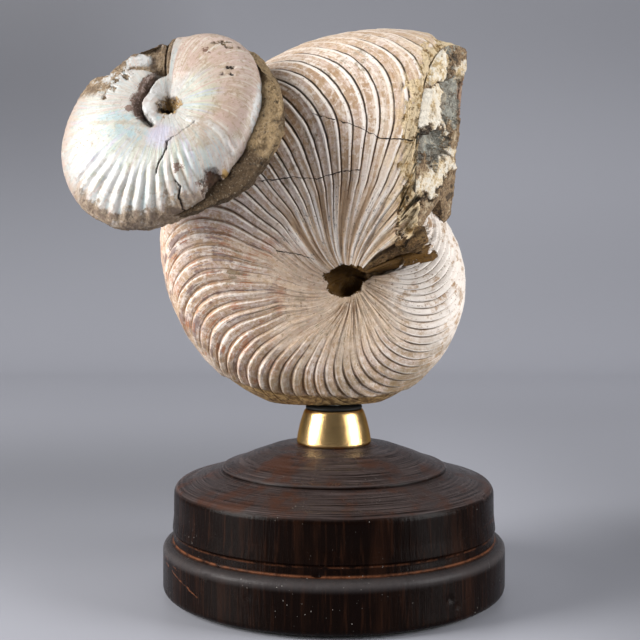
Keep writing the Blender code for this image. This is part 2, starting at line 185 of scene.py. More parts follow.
class Graph:
    """A node tree that formulas are written into."""

    def __init__(self, tree: NodeTree) -> None:
        """Starts on a tree."""
        self.tree = tree

    def node(self, kind: str, feeds: dict | None = None, **settings: object) -> Node:
        """Adds a node.

        Args:
            kind: The node's type.
            feeds: What its inputs get, by name or index.
            **settings: The node's own options.

        Returns:
            The new node.
        """
        made = self.tree.nodes.new(kind)
        for name, setting in settings.items():
            setattr(made, name, setting)
        for key, value in (feeds or {}).items():
            self.feed(made.inputs[key], value)
        return made

    def feed(self, socket: NodeSocket, value: object) -> None:
        """Links a wire to a socket, or sets a plain value on it.

        Args:
            socket: The socket.
            value: A wire, a number, a vector, a colour or a material.
        """
        if isinstance(value, Wire):
            self.tree.links.new(value.socket, socket)
        elif socket.type == "RGBA" and len(value) == 3:
            socket.default_value = (*value, 1)
        else:
            socket.default_value = value

    def out(self, made: Node, key: str | int = 0) -> Wire:
        """One output of a node, as a wire."""
        return Wire(self, made.outputs[key])

    def math(self, operation: str, *values: Value) -> Wire:
        """One arithmetic step on one to three values."""
        return self.out(self.node("ShaderNodeMath", dict(enumerate(values)), operation=operation))

    def sine(self, degrees: Value) -> Wire:
        """Sine of an angle in degrees."""
        return self.math("SINE", self.math("MULTIPLY", degrees, DEGREE))

    def cosine(self, degrees: Value) -> Wire:
        """Cosine of an angle in degrees."""
        return self.math("COSINE", self.math("MULTIPLY", degrees, DEGREE))

    def length(self, across: Wire, up: Wire) -> Wire:
        """The length of a step across and up."""
        return self.math("SQRT", across * across + up * up)

    def least(self, first: Value, second: Value) -> Wire:
        """The smaller of two values."""
        return self.math("MINIMUM", first, second)

    def most(self, first: Value, second: Value) -> Wire:
        """The larger of two values."""
        return self.math("MAXIMUM", first, second)

    def blend(self, share: Value, first: Value, second: Value) -> Wire:
        """A number that is the first at share 0 and the second at share 1."""
        return self.math("MULTIPLY_ADD", share, self.math("SUBTRACT", second, first), first)

    def rise(self, value: Value, start: Value, end: Value) -> Wire:
        """A smooth change from 0 where the value is at the start to 1 at the end, which may be the lower one."""
        feeds = {"Value": value, "From Min": start, "From Max": end}
        return self.out(self.node("ShaderNodeMapRange", feeds, interpolation_type="SMOOTHSTEP"))

    def within(self, value: Value, low: Value, high: Value, soft: float = 0.6) -> Wire:
        """1 where the value is between two limits, with ends that are soft over twice the softness."""
        below, above = self.math("SUBTRACT", low, soft), self.math("ADD", high, soft)
        return self.rise(value, below, below + 2 * soft) * self.rise(value, above, above - 2 * soft)

    def hump(self, value: Value, centre: Value, reach: Value) -> Wire:
        """1 where the value is at the centre, falling smoothly to 0 at the reach on both sides."""
        away = abs(self.math("SUBTRACT", value, centre))
        return self.rise(self.math("DIVIDE", away, reach), 1, 0)

    def luck(self, number: Wire) -> Wire:
        """A fixed random share for each whole number."""
        return self.out(self.node("ShaderNodeTexWhiteNoise", {"W": number}, noise_dimensions="1D"), "Value")

    def vector(self, x: Value, y: Value, z: Value) -> Wire:
        """A vector from its three parts."""
        return self.out(self.node("ShaderNodeCombineXYZ", {0: x, 1: y, 2: z}))

    def split(self, vector: Wire) -> tuple[Wire, Wire, Wire]:
        """The three parts of a vector."""
        made = self.node("ShaderNodeSeparateXYZ", {0: vector})
        return self.out(made, 0), self.out(made, 1), self.out(made, 2)

    def stretch(self, vector: Wire, by: Sequence[float]) -> Wire:
        """A vector multiplied part by part."""
        return self.out(self.node("ShaderNodeVectorMath", {0: vector, 1: by}, operation="MULTIPLY"))

    def along(self, vector: Wire, size: Value) -> Wire:
        """A vector multiplied by a number."""
        return self.out(self.node("ShaderNodeVectorMath", {0: vector, "Scale": size}, operation="SCALE"))

    def shifted(self, vector: Wire, by: Wire | Sequence[float]) -> Wire:
        """A vector with another added to it."""
        return self.out(self.node("ShaderNodeVectorMath", {0: vector, 1: by}, operation="ADD"))

    def noise(self, where: Wire, scale: float, detail: float = 2.0, rough: float = 0.5, seed: float = 0.0) -> Wire:
        """Cloudy noise about 0.5: its waves in a metre, finer layers, their strength, and its seed."""
        feeds = {"Vector": where, "W": seed, "Scale": scale, "Detail": detail, "Roughness": rough}
        return self.out(self.node("ShaderNodeTexNoise", feeds, noise_dimensions="4D"))

    def cells(self, where: Wire, scale: float) -> Wire:
        """Distance to the nearest point of a pattern with so many cells in a metre."""
        return self.out(self.node("ShaderNodeTexVoronoi", {"Vector": where, "Scale": scale}), "Distance")

    def paint(self, share: Value, first: Wire | Colour, second: Wire | Colour) -> Wire:
        """A colour that is the first at share 0 and the second at share 1."""
        return self.out(self.node("ShaderNodeMix", {0: share, 6: first, 7: second}, data_type="RGBA"), 2)

    def coats(self, colour: Wire | Colour, *coats: tuple[Value, Wire | Colour]) -> Wire:
        """Paints coats over a colour, one after another.

        Args:
            colour: The colour below.
            *coats: The share and the colour of each coat, the lowest first.

        Returns:
            The painted colour.
        """
        for share, coat in coats:
            colour = self.paint(share, colour, coat)
        return colour

    def scale_of(self, value: Wire, stops: Sequence[tuple[float, Colour]]) -> Wire:
        """A colour read off a scale.

        Args:
            value: The place on the scale.
            stops: Places and their colours.

        Returns:
            The colour.
        """
        made = self.node("ShaderNodeValToRGB", {0: value})
        ramp = made.color_ramp
        for index, (place, colour) in enumerate(stops):
            stop = ramp.elements[index] if index < 2 else ramp.elements.new(place)
            stop.position = place
            stop.color = (*colour, 1)
        return self.out(made)

    def spot(self, x: Wire, y: Wire, at: Spot, size: Spot, ragged: Value = 0.0, soft: float = 0.2) -> Wire:
        """1 inside a blot about a place, with half its width and height, noise on its edge and its softness."""
        away = self.length((x - at[0]) / size[0], (y - at[1]) / size[1]) + ragged
        return self.rise(away, 1 + soft, 1 - soft)

    def any_of(self, *shares: Wire) -> Wire:
        """The largest of several shares."""
        return functools.reduce(self.most, shares)

    def crack(self, x: Wire, z: Wire, points: Sequence[Spot], width: Value) -> Wire:
        """A thin broken line.

        Args:
            x: Where it is read, across.
            z: Where it is read, up.
            points: Corners of the line.
            width: Half its width.

        Returns:
            1 on the line and 0 away from it.
        """
        aways = []
        for (x0, z0), (x1, z1) in zip(points, points[1:]):
            run, climb = x1 - x0, z1 - z0
            size = run * run + climb * climb
            share = ((x - x0) * (run / size) + (z - z0) * (climb / size))
            held = self.least(self.most(share, 0), 1)
            aways.append(self.length(x - x0 - held * run, z - z0 - held * climb))
        return self.rise(functools.reduce(self.least, aways) / width, 1, 0.4)


class Growth(Graph):
    """A geometry tree that shapes a closed tube into a piece and keeps values on it."""

    def __init__(self, name: str, sizes: object, around: int, rows: int, flip: bool = True) -> None:
        """Starts the tree with a closed tube, and makes a named input of every size.

        Args:
            name: The tree's name.
            sizes: A dataclass whose number fields become inputs.
            around: Columns of the tube.
            rows: Rows of the tube.
            flip: Whether the faces start turned round, for a shape that is mirrored by its placing.
        """
        super().__init__(bpy.data.node_groups.new(name, "GeometryNodeTree"))
        interface = self.tree.interface
        self.values: dict[str, float] = {}
        for field in fields(sizes):
            value = getattr(sizes, field.name)
            if isinstance(value, float):
                made = interface.new_socket(field.name, in_out="INPUT", socket_type="NodeSocketFloat")
                self.values[made.identifier] = value
        interface.new_socket("Geometry", in_out="OUTPUT", socket_type="NodeSocketGeometry")
        self.entry = self.tree.nodes.new("NodeGroupInput")
        self.exit = self.tree.nodes.new("NodeGroupOutput")
        feeds = {"Vertices": around, "Side Segments": rows, "Radius": 1, "Depth": 1}
        tube = self.node("GeometryNodeMeshCylinder", feeds, fill_type="TRIANGLE_FAN")
        self.shape = tube.outputs["Mesh"]
        if flip:
            self.step(self.node("GeometryNodeFlipFaces"))
        x, y, z = self.split(self.place())
        turn = self.math("ARCTAN2", y, x) / FULL_TURN
        self.round = self.math("FRACT", turn + 1)
        self.down = 0.5 - z
        self.rim = self.rise(x * x + y * y, 0.2, 0.8)

    def size(self, name: str) -> Wire:
        """A named size of the piece."""
        return self.out(self.entry, name)

    def place(self) -> Wire:
        """The position of a point."""
        return self.out(self.node("GeometryNodeInputPosition"))

    def step(self, made: Node) -> None:
        """Puts a node on the line that the shape runs through."""
        self.tree.links.new(self.shape, made.inputs[0])
        self.shape = made.outputs[0]

    def keep(self, name: str, value: Wire) -> Wire:
        """Keeps a value on the points by a name, and gives it for use further down the tree."""
        self.step(self.node("GeometryNodeStoreNamedAttribute", {"Name": name, "Value": value}))
        return self.out(self.node("GeometryNodeInputNamedAttribute", {"Name": name}, data_type="FLOAT"))

    def keep_lines(self, angle: Wire, waves: float, along: Wire) -> Wire:
        """Keeps the place by the growth lines: a line's angle, the pattern's size, the place along it."""
        parts = (self.cosine(angle) * waves, self.sine(angle) * waves, along)
        return self.vector(*(self.keep(name, part) for name, part in zip(LINE_NAMES, parts)))

    def move(self, place: Wire) -> None:
        """Puts every point at a place, and joins the points that meet at the poles."""
        self.step(self.node("GeometryNodeSetPosition", {"Position": place}))
        self.step(self.node("GeometryNodeMergeByDistance", {"Distance": SAME_PLACE}))

    def push(self, height: Wire) -> None:
        """Pushes every point out along its normal."""
        facing = self.out(self.node("GeometryNodeInputNormal"))
        self.step(self.node("GeometryNodeSetPosition", {"Offset": self.along(facing, height)}))

    def bake(self, name: str, material: Material, second: tuple[Wire, Material] | None = None) -> Object:
        """Ends the tree, runs it once and makes a plain object of the result.

        Args:
            name: The piece's name.
            material: Its material.
            second: A share and the material of the faces where it passes one half.

        Returns:
            The finished object.
        """
        self.step(self.node("GeometryNodeSetShadeSmooth"))
        self.step(self.node("GeometryNodeRealizeInstances"))
        self.step(self.node("GeometryNodeSetMaterial", {"Material": material}))
        if second:
            chosen = second[0] > 0.5
            self.step(self.node("GeometryNodeSetMaterial", {"Selection": chosen, "Material": second[1]}))
        self.tree.links.new(self.shape, self.exit.inputs["Geometry"])
        holder = linked(name + "_holder", bpy.data.meshes.new(name))
        modifier = holder.modifiers.new("growth", "NODES")
        modifier.node_group = self.tree
        for identifier, value in self.values.items():
            modifier[identifier] = value
        bpy.context.view_layer.update()
        graph = bpy.context.evaluated_depsgraph_get()
        mesh = bpy.data.meshes.new_from_object(holder.evaluated_get(graph))
        mesh.name = name
        holder.modifiers.remove(modifier)
        bpy.data.objects.remove(holder, do_unlink=True)
        return linked(name, mesh)


# ------------------------------------------------------------------ finishes


class Surface(Graph):
    """A material being painted, with the piece's own coordinates."""

    def __init__(self, name: str) -> None:
        """Starts a material.

        Args:
            name: The material's name.
        """
        self.material = bpy.data.materials.new(name)
        self.material.use_nodes = True
        super().__init__(self.material.node_tree)
        self.shader = self.tree.nodes["Principled BSDF"]
        self.where = self.out(self.node("ShaderNodeTexCoord"), "Object")

    def kept(self, name: str) -> Wire:
        """A value kept on the piece's points."""
        return self.out(self.node("ShaderNodeAttribute", attribute_name=name), "Fac")

    def lines(self) -> Wire:
        """The kept place along and across the growth lines."""
        return self.vector(*(self.kept(name) for name in LINE_NAMES))

    def placed(self, share: NodeTree, **values: Value) -> dict[str, Wire]:
        """Places a shared effect.

        Args:
            share: The effect's node group.
            **values: Its inputs, with spaces written as underscores.

        Returns:
            Its outputs by name.
        """
        made = self.node("ShaderNodeGroup", node_tree=share)
        for name, value in values.items():
            self.feed(made.inputs[name.replace("_", " ")], value)
        return {socket.name: Wire(self, socket) for socket in made.outputs}

    def finish(self, colour: Wire, rough: Wire | float, height: Wire | None, depth: float = 0.001,
               **constants: object) -> Material:
        """Ends the material.

        Args:
            colour: The base colour.
            rough: The roughness.
            height: Relief, as a share of the depth.
            depth: Depth of the relief in metres.
            **constants: Shader sockets that are the same all over, with spaces written as underscores.

        Returns:
            The material.
        """
        self.feed(self.shader.inputs["Base Color"], colour)
        self.feed(self.shader.inputs["Roughness"], rough)
        for name, value in constants.items():
            self.feed(self.shader.inputs[name.replace("_", " ")], value)
        if height is not None:
            bump = self.node("ShaderNodeBump", {"Height": height, "Distance": depth})
            self.feed(self.shader.inputs["Normal"], self.out(bump))
        return self.material


class Effects:
    """Effects that several finishes share, each built once."""

    built: dict[str, NodeTree] = {}

    @classmethod
    def group(cls, name: str, inputs: dict[str, float],
              fill: Callable[[Graph, dict[str, Wire]], dict[str, Wire]]) -> NodeTree:
        """Builds a shader group, or returns it if it is there.

        Args:
            name: The group's name.
            inputs: Number inputs and what they start at.
            fill: Writes the group's formulas and gives its number outputs.

        Returns:
            The node group.
        """
        if name in cls.built:
            return cls.built[name]
        tree = bpy.data.node_groups.new(name, "ShaderNodeTree")
        tree.interface.new_socket("Where", in_out="INPUT", socket_type="NodeSocketVector")
        for title, value in inputs.items():
            made = tree.interface.new_socket(title, in_out="INPUT", socket_type="NodeSocketFloat")
            made.default_value = value
        graph = Graph(tree)
        entry = tree.nodes.new("NodeGroupInput")
        results = fill(graph, {socket.name: Wire(graph, socket) for socket in entry.outputs if socket.name})
        for title in results:
            tree.interface.new_socket(title, in_out="OUTPUT", socket_type="NodeSocketFloat")
        leave = tree.nodes.new("NodeGroupOutput")
        for title, wire in results.items():
            graph.feed(leave.inputs[title], wire)
        cls.built[name] = tree
        return tree

    @classmethod
    def grit(cls) -> NodeTree:
        """Coarse grains, fine grains and pits of stone."""

        def fill(graph: Graph, wires: dict[str, Wire]) -> dict[str, Wire]:
            """Writes the formulas.

            Args:
                graph: The group's tree.
                wires: Its inputs.

            Returns:
                Its outputs.
            """
            where = graph.along(wires["Where"], wires["Density"])
            coarse = graph.noise(where, 1, 4, 0.62, 1)
            grains = graph.cells(where, 2.6)
            pits = graph.rise(graph.noise(where, 0.8, 3, 0.6, 7), 0.58, 0.68)
            relief = coarse * 1.2 - grains * 0.5 - pits * 0.7
            return {"Relief": relief, "Grain": grains, "Cloud": coarse, "Pits": pits}

        return cls.group("grit", {"Density": 600}, fill)

    @classmethod
    def dust(cls) -> NodeTree:
        """Sparse specks and soft patches of dust."""

        def fill(graph: Graph, wires: dict[str, Wire]) -> dict[str, Wire]:
            """Writes the formulas.

            Args:
                graph: The group's tree.
                wires: Its inputs.

            Returns:
                Its outputs.
            """
            near = graph.cells(wires["Where"], 420)
            patchy = graph.noise(wires["Where"], 40, 3, 0.6, 3)
            specks = graph.rise(near, 0.11, 0.05) * graph.rise(patchy, 0.5, 0.62)
            return {"Specks": specks * wires["Amount"], "Patches": graph.rise(patchy, 0.42, 0.72)}

        return cls.group("dust", {"Amount": 1}, fill)


@dataclass(frozen=True)
class ShellFinish:
    """Fossil shell: pinkish beige with stains and bare stone. Its pale rib edges are painted highlights and its dark
    grooves are painted shade.
    """

    base: Colour = (0.52, 0.368, 0.252)
    pale: Colour = (0.88, 0.81, 0.74)
    pink: Colour = (0.59, 0.455, 0.385)
    warm: Colour = (0.38, 0.23, 0.115)
    plum: Colour = (0.17, 0.095, 0.085)
    rust: Colour = (0.42, 0.15, 0.06)
    olive: Colour = (0.185, 0.13, 0.058)
    groove: Colour = (0.034, 0.02, 0.012)
    trough: Colour = (0.235, 0.125, 0.055)
    hollow: Colour = (0.175, 0.085, 0.016)
    stone: Colour = (0.16, 0.088, 0.032)
    earth: Colour = (0.33, 0.19, 0.08)
    shadow: Colour = (0.045, 0.024, 0.009)
    sand: Colour = (0.8, 0.6, 0.41)
    cream: Colour = (0.8, 0.63, 0.4)
    ochre: Colour = (0.44, 0.28, 0.11)
    crack_width: float = 0.00014

    def build(self, shell: "NautilusHalf") -> Material:
        """Builds the material.

        Args:
            shell: The nautilus, which says where its ribs and its bare stone are.

        Returns:
            The material.
        """
        paint = Surface("fossil_shell")
        rise, noise = paint.rise, paint.noise
        where = paint.where
        x, _, z = paint.split(where)
        kept = {name: paint.kept(name) for name in NautilusHalf.kept_names}
        marks = shell.marks(paint, where, kept)
        groove, ridge, fade = marks.groove, marks.ridge, marks.fade
        rope, pearl = kept["rope"], kept["pearl"]
        lines = paint.lines()
        streak = noise(lines, 1, 5, 0.66, 1)
        fine = noise(lines, 3.4, 4, 0.65, 5)
        broad = noise(where, 36, 4, 0.62, 2)
        patch = noise(where, 130, 5, 0.68, 9)
        small = noise(where, 420, 4, 0.68, 12)
        grit = paint.placed(Effects.grit(), Where=where, Density=900)
        # Painted highlight along each rib's crest, just before its groove.
        crest = rise(ridge * (streak + small * 0.5 + 0.25), 0.36, 0.8) * fade
        mottle = (1 - fade) * (1 - pearl)
        flank = marks.late * rise(kept["span"], 1.15, 0.85)
        # Follows the flank's wrinkle relief: the pale coat on the raised wrinkles is painted highlight and the warm
        # coat in the sunk ones is painted shade.
        furrow = noise(lines, 0.32, 2, 0.5, 7) + fine * 0.25

        left = rise(x, 0.01, -0.05) * rise(z, 0.212, 0.182)
        stain = rise(noise(where, 95, 5, 0.7, 21) + streak, 1.04, 1.14)
        rust = rise(noise(where, 105, 4, 0.7, 33) + fine, 1.06, 1.16)
        moss = rise(noise(where, 48, 6, 0.72, 44) + streak * 0.5, 0.835, 0.925)
        lower = rise(z, 0.15, 0.112) * rise(noise(where, 60, 4, 0.7, 51), 0.4, 0.62)
        soft = paint.most(pearl, 1 - marks.late)
        # Painted shade in the grooves between the ribs: dark lines, brown where the ribs are soft and round.
        groove_shade = groove * fade * rise(small + patch + (1 - soft) * 0.3, 0.68, 1.08)
        groove_shade *= 1 - soft * 0.35 - rope * 0.2
        gaps = flank * rise(fine + small, 1.12, 1.2)
        specks = rise(noise(where, 560, 4, 0.7, 11), 0.585, 0.65)

        bleached = marks.worn * rise(patch + streak, 0.92, 1.1)
        layer = paint.coats(
            self.cream,
            (rise(patch + small * 0.5, 0.74, 0.86), self.ochre),
            (rise(small + patch * 0.4, 0.76, 0.84) * 0.8, self.stone),
        )
        rock = paint.coats(
            self.stone,
            (rise(grit["Cloud"], 0.44, 0.62), self.earth),
            (rise(patch + grit["Pits"] * 0.3, 0.5, 0.66) * 0.5, self.shadow),
            (rise(patch + small * 0.5, 0.76, 0.86) * 0.5, self.ochre),
            (rise(small, 0.5, 0.4) * 0.8, self.shadow),
        )
        crack = self.cracks(paint) * (1 - marks.stone)

        bare = paint.any_of(marks.stone, marks.layer * 0.7, marks.pit)
        height = streak * (0.3 + (1 - fade) * 0.6) + fine * 0.25 + small * 0.45 + patch * 0.35
        height = height - crack * 0.9 - groove * fade * 0.5 + bare * grit["Relief"] * 1.2
        rough = 0.46 + bare * 0.36 + groove * 0.25 - pearl * 0.08 + small * 0.1
        colour = paint.coats(
            self.base,
            (rise(patch, 0.42, 0.56), self.pink),
            (rise(broad, 0.48, 0.6) * 0.65, self.warm),
            (rise(streak, 0.49, 0.6) * 0.65, self.pale),
            (rise(fine, 0.53, 0.63) * 0.65, self.warm),
            (rise(small, 0.52, 0.6) * 0.5, self.pale),
            (rise(small, 0.47, 0.38) * 0.75, self.warm),
            (pearl * rise(patch, 0.4, 0.5) * 0.85, self.pale),
            # the painted rib highlight
            (crest * 0.95, self.pale),
            (mottle * rise(patch + small * 0.4, 0.7, 0.86) * 0.5, self.olive),
            (mottle * rise(patch + streak * 0.7, 0.8, 0.7) * 0.6, self.pale),
            (paint.most(flank, mottle) * 0.45, self.sand),
            # painted highlight and shade on the flank's wrinkles
            (flank * rise(furrow, 0.64, 0.69) * 0.85, self.pale),
            (flank * rise(furrow, 0.6, 0.56) * 0.75, self.warm),
            (flank * rise(fine + streak * 0.3, 0.69, 0.77) * 0.5, self.trough),
            (stain * left * 0.8, self.plum),
            (rust * left * 0.75, self.rust),
            (moss * (1 - pearl * 0.6) * 0.8, self.olive),
            (lower * 0.6, self.olive),
            # the painted groove shade
            (groove_shade, paint.paint(paint.most(soft, flank * 0.8), self.groove, self.trough)),
            (gaps * 0.85, self.groove),
            (specks * 0.7, self.trough),
            (bleached * 0.75, paint.paint(rise(small, 0.44, 0.6), self.cream, self.ochre)),
            (marks.layer, layer),
            (marks.stone, rock),
            (marks.ground * 0.92, paint.paint(rise(small, 0.44, 0.56), self.stone, self.ochre)),
            (marks.under * 0.75, self.shadow),
            (marks.pit, paint.paint(rise(small, 0.5, 0.64), self.hollow, self.stone)),
            (crack, self.groove),
        )
        return paint.finish(colour, rough, height, 0.001, Specular_IOR_Level=0.32,
                            Coat_Weight=0.06, Coat_Roughness=0.3)

    def cracks(self, paint: Surface) -> Wire:
        """Three thin cracks that run across the flank.

        Args:
            paint: The material.

        Returns:
            1 in a crack.
        """
        x, _, z = paint.split(paint.where)
        wander = paint.noise(paint.where, 240, 3, 0.6, 17) - 0.5
        across, up = x + wander * 0.0016, z + wander * 0.0026
        thick = paint.rise(wander, -0.1, 0.12) * 0.00022 + self.crack_width
        middle = ((-0.0366, 0.2125), (-0.0202, 0.2145), (-0.0086, 0.2135), (0.0019, 0.2169), (0.0119, 0.2178))
        upper = ((-0.011, 0.2442), (0.0033, 0.2404), (0.0095, 0.2385), (0.0209, 0.2328), (0.0366, 0.2318))
        lower = ((-0.0284, 0.1792), (-0.018, 0.1775), (-0.0101, 0.1748))
        return paint.any_of(*(paint.crack(across, up, points, thick) for points in (middle, upper, lower)))


@dataclass(frozen=True)
class SectionFinish:
    """The flat, polished cut: chambers with their walls, and a body chamber full of mudstone."""

    spar: Colour = (0.62, 0.45, 0.28)
    honey: Colour = (0.36, 0.17, 0.055)
    wall: Colour = (0.8, 0.72, 0.6)
    mud: Colour = (0.2, 0.17, 0.125)
    teal: Colour = (0.16, 0.19, 0.17)

    def build(self, sizes: "NautilusHalf") -> Material:
        """Builds the material.

        Args:
            sizes: The nautilus, whose spiral the chambers follow.

        Returns:
            The material.
        """
        paint = Surface("polished_section")
        rise = paint.rise
        x, _, z = paint.split(paint.where)
        across = x - sizes.coil_x
        up = (z - sizes.coil_z) / math.cos(sizes.lean * DEGREE)
        radius = paint.most(paint.length(across, up), 0.0005)
        turn = paint.math("ARCTAN2", -up, across) / FULL_TURN
        growth_log = math.log(sizes.expansion)
        whorl = paint.math("LOGARITHM", radius / sizes.start_radius, math.e) / growth_log - turn
        depth_in = 1 - paint.math("FRACT", whorl + 8)
        grown = paint.math("CEIL", whorl) + turn
        shell = rise(paint.least(depth_in, 1 - depth_in), 0.045, 0.018)
        bowed = grown * 19 + paint.hump(depth_in, 0.5, 0.55) * 0.75
        septum = rise(abs(paint.math("FRACT", bowed + 9) - 0.5), 0.075, 0.03)
        phase = paint.math("FLOOR", bowed + 9.5)
        body = rise(grown, 0.42, 0.425)
        cloud = paint.noise(paint.where, 70, 5, 0.6, 3)
        veins = paint.noise(paint.where, 30, 6, 0.55, 8)
        vein = rise(veins, 0.48, 0.5) - rise(veins, 0.5, 0.52)
        pick = paint.math("FRACT", paint.math("SINE", phase * 12.99) * 43.7)
        lining = rise(paint.least(depth_in, 1 - depth_in), 0.05, 0.22)
        stone = paint.coats(self.mud, (rise(cloud, 0.4, 0.62), self.teal), (vein * 0.6, self.spar))
        fill = paint.coats(
            self.spar,
            (rise(cloud, 0.35, 0.65), self.honey),
            (lining * rise(pick, 0.45, 0.55) * 0.85, self.mud),
        )
        siphuncle = paint.hump(depth_in, 0.52, 0.05) * (1 - body)
        walls = paint.most(shell, septum * (1 - body))
        rough = 0.17 + body * 0.08 + cloud * 0.06
        height = walls * 0.25 + cloud * 0.3
        colour = paint.coats(fill, (body, stone), (siphuncle * 0.8, self.honey), (walls * 0.92, self.wall))
        return paint.finish(colour, rough, height, 0.0002, Coat_Weight=0.35, Coat_Roughness=0.08)


@dataclass(frozen=True)
class BreakFinish:
    """The broken end: cream layers of shell, grey-green mudstone and brown stone."""

    cream: Colour = (0.76, 0.62, 0.42)
    chalk: Colour = (0.84, 0.77, 0.65)
    ochre: Colour = (0.46, 0.3, 0.11)
    teal: Colour = (0.42, 0.42, 0.365)
    grey: Colour = (0.2, 0.175, 0.135)
    tan: Colour = (0.39, 0.265, 0.145)
    brown: Colour = (0.15, 0.086, 0.04)
    dark: Colour = (0.045, 0.026, 0.013)
    rim: Colour = (0.46, 0.25, 0.15)

    def build(self, face: "BrokenEnd") -> Material:
        """Builds the material.

        Args:
            face: The broken end, which says where its layers are.

        Returns:
            The material.
        """
        paint = Surface("broken_end")
        rise = paint.rise
        where = paint.where
        marks = face.marks(paint, where, paint.kept("out"), paint.kept("height"))
        grit = paint.placed(Effects.grit(), Where=where, Density=750)
        drawn = paint.stretch(where, (1, 0.4, 1))
        cloud = paint.noise(drawn, 140, 5, 0.66, 2)
        small = paint.noise(drawn, 520, 4, 0.66, 4)
        bands = paint.noise(drawn, 270, 5, 0.68, 6)
        wet = paint.coats(
            self.grey,
            (rise(cloud + small * 0.6, 0.64, 0.92), self.teal),
            (rise(bands, 0.5, 0.6) * 0.6, self.grey),
            (rise(small + cloud * 0.5, 0.8, 0.92) * 0.55, self.cream),
        )
        shell = paint.coats(
            self.chalk,
            (rise(small + cloud, 0.9, 1.06), self.cream),
            (rise(cloud + small * 0.3, 0.68, 0.76) * 0.8, self.ochre),
            (rise(small, 0.56, 0.63) * 0.7, self.brown),
        )
        height = grit["Relief"] * (1 - marks.cream * 0.5) + bands * 0.8 + small * 0.6 + cloud * 0.8
        rough = 0.66 - marks.mud * 0.2 - marks.cream * 0.08
        colour = paint.coats(
            self.brown,
            (rise(grit["Cloud"], 0.4, 0.58), self.tan),
            (rise(cloud, 0.54, 0.62) * 0.6, self.cream),
            (rise(cloud + small * 0.4, 0.68, 0.6) * 0.8, self.dark),
            (marks.mud, wet),
            (marks.cream, shell),
            (marks.lobes * 0.8, self.chalk),
            (marks.rim * rise(cloud, 0.32, 0.52) * 0.85, self.rim),
            (marks.shade * 0.88, self.dark),
        )
        return paint.finish(colour, rough, height, 0.0012)


